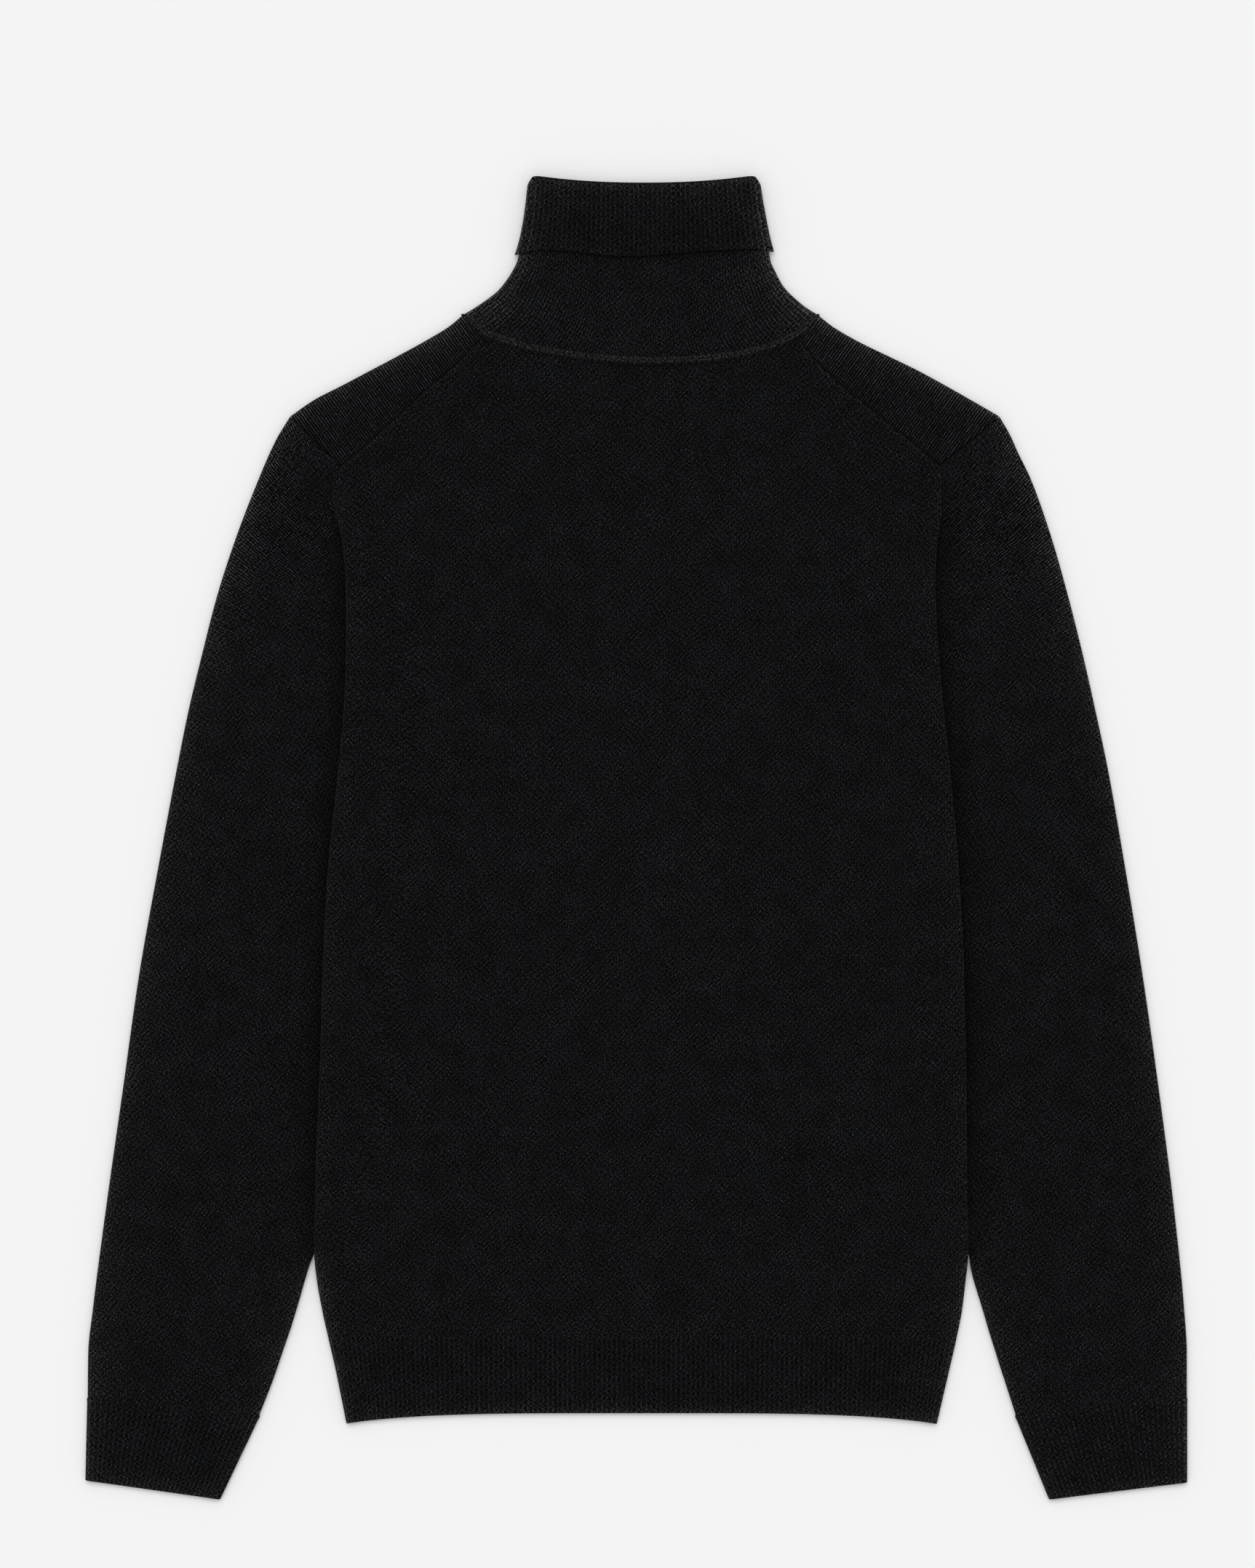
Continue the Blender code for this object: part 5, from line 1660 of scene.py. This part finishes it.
@dataclass
class Collar(Piece):
    """The collar in rib: a stand, its top fold and the layer turned down over it, one tube."""

    ribs: int = 48
    rib_points: int = 6
    fold_steps: int = 12
    flare: float = 1.3
    # How much closer the ribs are in the middle of the stand's foot than on average
    gathered: float = 0.26
    stride: int = 1
    front_steps: int = 48
    stand_rows: int = 52
    fold_rows: int = 13
    turned_rows: int = 46
    top: float = 396.0
    top_rise: float = 4.3
    half_width: float = 66.0
    middle: float = 4.7
    turn_gap: float = 0.3
    turned_length: float = 44.0
    ramp: tuple[float, float] = (318.0, 348.0)
    corner_power: int = 40
    lean_reach: float = 18.0

    @property
    def roll(self) -> float:
        """The radius of the top fold."""
        return CLOTH.wall + 0.5 * self.turn_gap

    def level(self, height: Array) -> Array:
        """How far the stand is raised by the turned-down layer under it."""
        return (CLOTH.wall + self.turn_gap) * step(height, *self.ramp)

    def top_height(self, x: Array) -> Array:
        """The height of the top fold, sagging in the middle."""
        return self.top + self.top_rise * (np.abs(x - self.middle) / self.half_width) ** 2.2

    def stand(self, layer: Layer, shares: Array) -> Array:
        """The stand seen from above, in fine rows from its seam to the top fold."""
        height = np.linspace(0, 1, 61)
        base_shares = shares + self.gathered * np.sin(2 * np.pi * shares) / (2 * np.pi)
        base = spaced(moved(neck_line(layer), CLOTH.seam), base_shares)
        left = STAND_SIDE.point(Side.LEFT, mix(base[0, 1], self.top - self.roll, height))
        right = STAND_SIDE.point(Side.RIGHT, mix(base[-1, 1], self.top - self.roll, height))
        left[0], right[0] = base[0], base[-1]
        top_x = mix(left[-1, 0], right[-1, 0], shares)
        corner = np.abs(2 * shares - 1) ** self.corner_power
        top_y = mix(self.top_height(top_x), self.top, corner) - self.roll
        return filled(base, np.stack([top_x, top_y], axis=-1), left, right, shares, height)

    def turned(self, top: Array, w: float) -> Array:
        """A row of the turned-down layer at w of the way from the top fold to its free edge."""
        spread = 1.08
        edge = TURN_EDGE.at(top[:, 0] * spread)
        height = mix(top[:, 1], edge, w)
        x = top[:, 0]
        from_left, from_right = (np.exp(-np.abs(x - x[end]) / self.lean_reach) for end in (0, -1))
        flare = self.flare * w**4
        left, right = STAND_SIDE.x(Side.LEFT, height) - flare, STAND_SIDE.x(Side.RIGHT, height) + flare
        x = x + (left - x[0]) * from_left + (right - x[-1]) * from_right
        return np.stack([x, height], axis=-1)

    def ring(self, back: Array, front: Array, shares: Array, out: float, rise: float) -> tuple[Array, Array]:
        """A ring of the collar, moved out from the stand's outer face.

        Args:
            back: The row's line on the back, at fine shares.
            front: The same on the front.
            shares: The fine shares.
            out: How far the ring is moved out.
            rise: How far it is moved up the garment.

        Returns:
            The ring's points and their outward directions.
        """
        fold = CLOTH.fold_width + out
        inset = CLOTH.fold_width / travelled(back)[-1]
        middle = 0.5 * CLOTH.flat
        ahead = 6
        points, normals = [], []

        def add_flat(line: Array, places: Array, top: bool) -> None:
            """Add the columns of one layer."""
            plan = np.stack([np.interp(places, shares, line[:, k]) for k in (0, 1)], axis=-1)
            level = self.level(plan[:, 1])
            height = level + CLOTH.flat + out if top else level - out
            points.append(with_height(plan + np.array([0.0, rise]), height))
            normals.append(with_height(np.zeros_like(plan), 1.0 if top else -1.0))

        def add_turn(line: Array, end: int, angles: Array) -> None:
            """Add the columns round a side fold."""
            tip = line[end]
            inward = unit(line[ahead if end == 0 else -1 - ahead] - tip)
            level = float(self.level(tip[1]))
            for angle in angles:
                place = tip - inward * out + inward * fold * (1 - math.cos(angle))
                height = level + middle + (middle + out) * math.sin(angle)
                points.append(np.array([[place[0], place[1] + rise, height]]))
                normals.append(np.array([[*(-inward * math.cos(angle)), math.sin(angle)]]))

        angles = np.linspace(math.pi / 2, -math.pi / 2, self.fold_steps + 1)[1:-1]
        add_flat(back, np.linspace(inset, 1 - inset, self.ribs * self.rib_points + 1), top=True)
        add_turn(back, -1, angles)
        add_flat(front, np.linspace(1 - inset, inset, self.front_steps + 1), top=False)
        add_turn(back, 0, angles[::-1])
        points, normals = np.concatenate(points), np.concatenate(normals)
        return np.append(points, points[:1], axis=0), np.append(normals, normals[:1], axis=0)

    def rib_count(self) -> Array:
        """Ribs counted round the collar, along its columns."""
        round_fold = 1.6
        top = np.linspace(0, self.ribs, self.ribs * self.rib_points + 1)
        right = self.ribs + np.linspace(0, round_fold, self.fold_steps + 1)[1:-1]
        under = np.linspace(self.ribs + round_fold, 2 * self.ribs + round_fold, self.front_steps + 1)
        left = 2 * self.ribs + round_fold + np.linspace(0, round_fold, self.fold_steps + 1)[1:-1]
        return np.concatenate([top, right, under, left, [2 * self.ribs + 2 * round_fold]])

    def patches(self) -> list[Patch]:
        """One patch, from the neck seam up the stand, over the top fold and down to the free edge."""
        shares = np.linspace(0, 1, 401)
        back, front = self.stand(Layer.BACK, shares), self.stand(Layer.FRONT, shares)
        half = 0.5 * self.turn_gap
        rows: list[tuple[Array, Array, float, float, float, float, float]] = []
        # From the seam up to where the turned-down layer covers the stand, then on to the fold
        foot, covered = 0.05, 0.66
        seen = np.linspace(foot, covered, self.stand_rows)
        for v in np.concatenate([close_steps(0.0, foot, 6), seen, np.linspace(covered, 1, 6)[1:-1]]):
            at = v * (len(back) - 1)
            low = min(int(at), len(back) - 2)
            lines = [mix(grid[low], grid[low + 1], at - low) for grid in (back, front)]
            rows.append((*lines, 0.0, -CLOTH.wall, 0.0, 0.0, 0.0))
        for angle in np.linspace(0, math.pi, self.fold_rows):
            out = half - half * math.cos(angle)
            inner_out = half - self.roll * math.cos(angle)
            rise, inner_rise = half * math.sin(angle), self.roll * math.sin(angle)
            rows.append((back[-1], front[-1], out, inner_out, rise, inner_rise, angle / math.pi))
        for w in np.append(np.linspace(0, 1, self.turned_rows)[1:-1], [0.99, 0.996, 1.0]):
            lines = [self.turned(grid[-1], w) for grid in (back, front)]
            rows.append((*lines, self.turn_gap, self.turn_gap + CLOTH.wall, 0.0, 0.0, 1.0 + w))
        return [self.dressed_patch(rows, shares)]

    def dressed_patch(self, rows: list[tuple], shares: Array) -> Patch:
        """Give the rows their ribs.

        Args:
            rows: For each row its two lines, how far out its hidden and shown faces are, how far they
                are moved up, and its stage: 0 on the stand, then 1 at the fold's end and 2 at the edge.
            shares: The fine shares.

        Returns:
            The patch. On the stand its shown face is the first, and past the fold the second.
        """
        first, second, normals = [], [], []
        for back, front, out, inner_out, rise, inner_rise, _ in rows:
            points, normal = self.ring(back, front, shares, out, rise)
            first.append(points)
            normals.append(normal)
            second.append(self.ring(back, front, shares, inner_out, inner_rise)[0])
        first, second, normals = np.array(first), np.array(second), np.array(normals)
        stage = np.array([row[-1] for row in rows])[:, None]
        middle = self.ribs * self.rib_points // 2
        courses = travelled(second[:, middle])[:, None] / GAUGE.rib_course
        ribs = self.rib_count()[None]
        on_top = step(normals[..., 2], -0.6, 0.2)
        turned = step(stage, 0.0, 1.0)
        lip = rounded_lip((2 - stage) * self.turned_length, 0.5, 0.6)
        relief = rib_height(ribs, courses, GAUGE.rib_relief) * on_top
        second = second + normals * ((relief - lip * on_top) * turned)[..., None]
        from_seam = travelled(first[:, middle])[:, None]
        sides = np.abs(2 * np.clip(ribs / self.ribs, 0, 1) - 1)
        spread = 0.25 + 0.75 * sides**1.5
        fine = 0.5 * GAUGE.rib_relief * 0.25 * np.cos(4 * np.pi * ribs)
        stand_relief = (0.3 * relief * spread + fine * on_top) * step(from_seam, 0.5, 3.0)
        stand_relief = stand_relief + 0.6 * seam_roll(from_seam) * on_top
        first = first + normals * (stand_relief * (stage == 0))[..., None]
        # The shown face of the stand is the ring's first face, and of the turned layer its second
        knit = np.stack(np.broadcast_arrays(ribs, courses), axis=-1)
        around = np.where(ribs <= self.ribs, 1.0 + np.minimum(ribs, self.ribs - ribs) * GAUGE.rib, 0.0)
        # Painted highlight along the folds and along the turned layer's free edge
        nap = raised_nap(around, 3.0, 0.95) * step(normals[..., 2], -0.9, 0.0)
        nap = nap + raised_nap((stage - 1.0) * self.turned_length, 1.4, 0.7) * turned * on_top
        # Ribs painted lighter on their raised wales and darker between, on the turned layer and beside the
        # side folds
        beside_fold = bell(around - 1.0, 14.0)
        nap = nap + np.cos(2 * np.pi * ribs) * (0.13 * turned + 0.08 * beside_fold * (1 - turned)) * on_top
        # Painted shadow on the stand under the turned layer's free edge
        under_edge = TURN_EDGE.at(first[..., 0]) - first[..., 1]
        covered = 0.5 * bell(np.maximum(under_edge, 0), 1.3) + 0.25 * bell(np.maximum(under_edge, 0), 7.0)
        nap = nap - covered * (stage == 0) * on_top
        return Patch(first, second, knit, nap, pull=np.where(stage == 0, -0.9, 0.0))


@dataclass
class NeckLinking(Piece):
    """The raised linking over the back neck seam: a low strip that carries a row of chain stitches."""

    width: float = 4.4
    height: float = 0.62
    clear: float = 0.45
    stitch: float = 1.9
    yarn: float = 0.52
    end_widths: tuple[float, ...] = (1.4, 1.6, 2.2, 3.2, 4.0)

    def path(self, count: int) -> tuple[Array, Array]:
        """The line that the linking follows, from one side fold of the neck to the other.

        Args:
            count: How many points it has between the folds.

        Returns:
            Its points and their outward directions.
        """
        line = spaced(moved(neck_line(Layer.BACK), 0.5 * CLOTH.seam), np.linspace(0, 1, count))
        ends = []
        ahead = 3
        for tip, near in ((line[0], line[ahead]), (line[-1], line[-1 - ahead])):
            inward = unit(near - tip)
            points, normals = [], []
            for angle in np.linspace(0, math.pi / 2, len(self.end_widths))[:-1]:
                place = tip + inward * CLOTH.fold_width * (1 - math.cos(angle))
                points.append([*place, CLOTH.middle * (1 + math.sin(angle))])
                normals.append([*(-inward * math.cos(angle)), math.sin(angle)])
            ends.append((np.array(points), np.array(normals)))
        away = np.linalg.norm(line[:, None] - line[[0, -1]][None], axis=-1).min(axis=1)
        line, away = line[away > CLOTH.fold_width], away[away > CLOTH.fold_width]
        level = CLOTH.flat + CLOTH.swell(away)
        level = level + (CLOTH.wall + Collar.turn_gap) * step(line[:, 1], *Collar.ramp)
        up = np.broadcast_to([0.0, 0.0, 1.0], (len(line), 3))
        points = np.concatenate([ends[0][0], with_height(line, level), ends[1][0][::-1]])
        return points, np.concatenate([ends[0][1], up, ends[1][1][::-1]])

    def patches(self) -> list[Patch]:
        """The strip, from its upper side over its rounded top to its lower side."""
        points, normals = self.path(150)
        sideways = unit(np.cross(normals, np.gradient(points, axis=0)))
        narrow = np.array(self.end_widths)
        wide = np.full(len(points) - 2 * len(narrow), self.width)
        width = np.concatenate([narrow, wide, narrow[::-1]])[:, None]
        outer, inner = [], []
        shares = np.linspace(-0.5, 0.5, 9)
        for across in shares:
            base = points + sideways * across * width + normals * (self.clear - 0.3)
            inner.append(base)
            outer.append(base + normals * (0.2 + self.height * math.cos(math.pi * across) ** 0.6))
        along = np.broadcast_to(travelled(points) / self.stitch, (len(shares), len(points)))
        across = np.broadcast_to(shares[:, None], along.shape)
        from_end = np.minimum(along, along[:, -1:] - along) * self.stitch
        # Painted light on the strip's rounded top, fading to its sides, and painted highlight at its ends
        nap = 0.45 * np.cos(np.pi * across) + raised_nap(from_end, 1.8, 0.8)
        return [Patch(np.array(outer), np.array(inner), np.stack([along, across], axis=-1), nap)]

    def chain(self) -> Yarns:
        """The chain stitches' legs, two to a stitch, which part and meet again in the next.

        Returns:
            The middle line of each leg, the yarn's radius along it and its painted light.
        """
        points, normals = self.path(1500)
        sideways = unit(np.cross(normals, np.gradient(points, axis=0)))
        along = travelled(points)
        shares = np.linspace(0, 1, 7)
        spread = np.array([0.04, 0.14, 0.21, 0.24, 0.21, 0.14, 0.07])
        rise = np.array([0.15, 0.62, 0.85, 0.9, 0.82, 0.6, 0.2])
        radius = self.yarn * np.array([0.55, 0.9, 1.0, 1.02, 1.0, 0.85, 0.5])
        lines, radii = [], []
        reach, from_end = 1.45 * self.stitch, 4.0
        for start in np.arange(from_end, along[-1] - from_end - reach, self.stitch):
            at = start + shares * reach
            place, side, up = (
                np.stack([np.interp(at, along, axis) for axis in source.T], axis=-1)
                for source in (points, sideways, normals)
            )
            for sign in (-1, 1):
                off = side * (sign * spread * self.width)[:, None]
                lines.append(place + off + up * (self.clear + self.height * rise)[:, None])
                radii.append(radius)
        # Each leg painted lighter, some more than others
        return lines, radii, [0.6 + 0.35 * math.sin(2.3 * n) for n in range(len(lines))]


def yarns(name: str, lines: list[Array], radii: list[Array], naps: list, sides: int = 6) -> Object:
    """Make lengths of yarn with closed ends.

    Args:
        name: The object's name.
        lines: The middle line of each length of yarn.
        radii: The radius at each of its points.
        naps: How much painted light and shade it carries, for each length or each of
        its points.
        sides: The faces round the yarn.

    Returns:
        The new object.
    """
    points, faces, lightness = [], [], []
    turn = np.linspace(0, 2 * math.pi, sides, endpoint=False)
    for line, radius, nap in zip(lines, radii, naps):
        nap = np.broadcast_to(nap, radius.shape)
        lightness.append(np.concatenate([nap[:1], np.repeat(nap, sides), nap[-1:]]))
        tangent = unit(np.gradient(line, axis=0))
        upward = np.array([0.0, 0.0, 1.0]) + 0 * tangent
        side = unit(np.cross(tangent, upward) + np.array([1e-9, 0, 0]))
        top = np.cross(side, tangent)
        ring = side[:, None] * np.cos(turn)[None, :, None] + top[:, None] * np.sin(turn)[None, :, None]
        start = len(points)
        rings = line[:, None] + ring * radius[:, None, None]
        reach = 0.6 * tangent * radius[:, None]
        points += [line[0] - reach[0], *rings.reshape(-1, 3), line[-1] + reach[-1]]
        last = len(points) - 1
        for k in range(sides):
            n = (k + 1) % sides
            faces.append((start, start + 1 + k, start + 1 + n))
            for row in range(len(line) - 1):
                a, b = start + 1 + row * sides + k, start + 1 + row * sides + n
                faces.append((a, a + sides, b + sides, b))
            base = last - sides
            faces.append((base + n, base + k, last))
    maps = [(0.25 + 0.1 * (n % 2), 0.5 * (n % 3)) for face in faces for n in face]
    return knitted(name, np.array(points), faces, np.array(maps), nap=np.concatenate(lightness))


def fashioning_marks() -> Yarns:
    """Stitches moved over where the back panel was narrowed, in a line inside each saddle seam."""
    inset, apart, length = 3.5, 5.5, 1.7
    from_armhole, from_neck = 8.0, 6.0
    share = np.linspace(0, 1, 5)
    lines, radii = [], []
    for side in Side:
        fine = spaced(SADDLE.points(side), np.linspace(0, 1, 200))
        line = moved(fine, -inset if side is Side.LEFT else inset)
        along = travelled(line)
        for start in np.arange(from_armhole, along[-1] - from_neck, apart):
            at = start + length * share
            place = np.stack([np.interp(at, along, axis) for axis in line.T], axis=-1)
            lift = CLOTH.flat + 0.05 + 0.3 * np.sin(math.pi * share)
            lines.append(with_height(place, lift))
            radii.append(np.array([0.25, 0.42, 0.48, 0.42, 0.25]))
    # The marks painted a little lighter
    return lines, radii, [0.15] * len(lines)


def rib_seam(start: Array, end: Array) -> tuple[Array, Array, Array]:
    """The yarn that joins a rib to the jersey, lying low in the groove between them."""
    # The yarn painted lighter, most at each stitch
    height, radius, nap = 2.75, 0.45, 0.9
    line = mix(start, end, np.linspace(0, 1, round(float(np.linalg.norm(end - start))))[:, None])
    beat = np.cos(2 * np.pi * travelled(line) / GAUGE.wale)
    return with_height(line, height + 0.15 * beat), radius + 0.06 * beat, nap * (1 + beat)


def hem_seam() -> Yarns:
    """The yarn between the back panel and its hem band."""
    inset = 1.5
    ends = []
    for side in Side:
        ends.append(BODY_SIDE.point(side, HEM_SEAM) + np.array([side.inward * inset, -0.5 * CLOTH.seam]))
    return tuple([part] for part in rib_seam(*ends))


def cuff_seam(side: Side) -> Yarns:
    """The yarn between a sleeve and its cuff."""
    inset = 1.5
    height = SLEEVE_ENDS[1] - 0.5 * CLOTH.seam
    start, end = SLEEVE_OUTER.point(side, height), inner_edge(side, height - SLEEVE_DROP.at(height))
    along = unit(end - start) * inset
    return tuple([part] for part in rib_seam(start + along, end - along))


def armhole_seams() -> Yarns:
    """The yarn of the armhole seams, deep in the groove between body and sleeve."""
    tip_height, lowest, corner_reach = 255.0, 166.0, (217.0, 228.0)
    lines, radii, naps = [], [], []
    for side in Side:
        tip = SHOULDER.point(side, tip_height) - np.array([0.1 * side.inward, 0.1])
        corner = BODY_SIDE.point(side, YOKE)
        height = np.linspace(YOKE, lowest, 40)[1:]
        down = BODY_SIDE.point(side, height) - np.array([0.15 * side.inward, 0.0])
        plan = np.concatenate([mix(tip, corner, np.linspace(0.03, 1, 30)[:, None]), down])
        plan = spaced(plan, np.linspace(0, 1, 160))
        beat = np.cos(2 * np.pi * travelled(plan) / GAUGE.course)
        sunk = step(plan[:, 1], *corner_reach)
        lines.append(with_height(plan, 2.35 - 0.6 * sunk + 0.12 * beat))
        radii.append(0.5 + 0.08 * beat)
        # Painted shade where the seam is pulled in, and a painted highlight for a short way below the
        # shoulder seam's corner
        naps.append(mix(mix(-0.4, 0.2, step(plan[:, 1], 200, 216)), -0.8, sunk))
    return lines, radii, naps


# Studio


@dataclass(frozen=True)
class Studio:
    """A pale paper floor, soft light from above and a camera that looks straight down.

    Attributes:
        paper: The floor's sRGB colour.
        ambient: The strength of the light from all round.
        key: The strength of the broad lamp high above.
        key_tilt: How far it leans from straight above towards the collar, in degrees.
        key_turn: How far it is turned to the left of the collar, in degrees.
        key_softness: The angle over which it spreads its light, in degrees.
        camera_height: The camera's height in metres.
        centre: The middle of the frame on the floor, in millimetres.
        frame_height: The height of the frame on the floor, in millimetres.
    """

    paper: str = "e9e9e9"
    ambient: float = 0.72
    key: float = 1.36
    key_tilt: float = 25.0
    key_turn: float = 8.0
    key_softness: float = 50.0
    camera_height: float = 4.0
    centre: tuple[float, float] = (-5.3, 32.6)
    frame_height: float = 948.6

    def build(self) -> None:
        """Make the floor, the lights and the camera."""
        scene = bpy.context.scene
        half, below = 4.0, 0.0004
        mesh = bpy.data.meshes.new("floor")
        corners = [(-half, -half), (half, -half), (half, half), (-half, half)]
        mesh.from_pydata([(x, y, -below) for x, y in corners], [], [(0, 1, 2, 3)])
        floor = bpy.data.objects.new("floor", mesh)
        scene.collection.objects.link(floor)
        mesh.materials.append(self.paper_material())
        world = bpy.data.worlds.new("studio")
        world.use_nodes = True
        background = world.node_tree.nodes["Background"]
        background.inputs["Color"].default_value = (1.0, 1.0, 1.0, 1.0)
        background.inputs["Strength"].default_value = self.ambient
        scene.world = world
        lamp = bpy.data.lights.new("broad lamp", "SUN")
        lamp.energy = self.key
        lamp.angle = math.radians(self.key_softness)
        key = bpy.data.objects.new("broad lamp", lamp)
        key.location = (0.0, 1.0, 2.0)
        key.rotation_euler = (-math.radians(self.key_tilt), 0.0, math.radians(self.key_turn))
        scene.collection.objects.link(key)
        view = bpy.data.cameras.new("camera")
        view.sensor_fit = "VERTICAL"
        view.lens = view.sensor_height * self.camera_height / (self.frame_height * MM)
        camera = bpy.data.objects.new("camera", view)
        camera.location = (self.centre[0] * MM, self.centre[1] * MM, self.camera_height)
        scene.collection.objects.link(camera)
        scene.camera = camera
        scene.view_settings.view_transform = "Standard"

    def paper_material(self) -> Material:
        """Matt white paper, which only shows as an even pale ground."""
        found = bpy.data.materials.new("matt studio paper")
        found.use_nodes = True
        finish = found.node_tree.nodes["Principled BSDF"]
        finish.inputs["Base Color"].default_value = linear(self.paper)
        finish.inputs["Roughness"].default_value = 1.0
        finish.inputs["Specular IOR Level"].default_value = 0.0
        return found


def main() -> None:
    """Build the sweater, its floor, lights and camera."""
    logging.basicConfig(level=logging.INFO, format="%(name)s: %(message)s")
    jersey, rib, linking = JERSEY.material(), RIB.material(), LINKING.material()
    front = FrontPanel("front_panel", "front", Slot.JERSEY, (0.40, 0.65), 0.223)
    front.declare(front.dress(jersey))
    back = BackPanel("back_panel", "back", Slot.JERSEY, (0.395, 0.606), 0.218, rests_on=("front_panel",))
    panel = back.dress(jersey)
    marks = dressed(yarns("fashioning_marks", *fashioning_marks()), "back", jersey)
    seams = dressed(yarns("armhole_linking", *armhole_seams()), "back", jersey)
    back.declare(panel, (marks, seams))
    for side in Side:
        name = side.value
        cut, rim = (0.262, 0.58), SLEEVE_RIM[side]
        sleeve = Sleeve(f"sleeve_{name}_tube", f"sleeve_{name}", Slot.JERSEY, cut, 0.131, side=side, rim=rim)
        sleeve.declare(sleeve.dress(jersey))
        cuff = Cuff(f"cuff_{name}_rib", f"cuff_{name}", Slot.RIB, (0.19, 0.061), 0.0096, side=side)
        tube = cuff.dress(rib)
        joined = yarns(f"cuff_{name}_linking", *cuff_seam(side))
        cuff.declare(tube, (dressed(joined, cuff.node, rib),))
    for layer in Layer:
        name = layer.value
        hem = HemBand(f"hem_{name}_rib", f"hem_{name}", Slot.RIB, (0.38, 0.053), 0.0176, layer=layer)
        band = hem.dress(rib)
        joined = [yarns("hem_linking", *hem_seam())] if layer is Layer.BACK else []
        hem.declare(band, tuple(dressed(thing, hem.node, rib) for thing in joined))
    collar = Collar("collar_rib", "collar", Slot.RIB, (0.38, 0.20), 0.057, held="folded")
    folded = collar.dress(rib)
    seam = NeckLinking("neck_linking", "neck_seam", Slot.LINKING, (0.22, 0.01), 0.0009)
    strip = seam.dress(linking)
    chain = dressed(yarns("neck_chain", *seam.chain()), "neck_seam", linking)
    collar.declare(folded, (strip, chain))
    Studio().build()


if __name__ == "__main__":
    main()
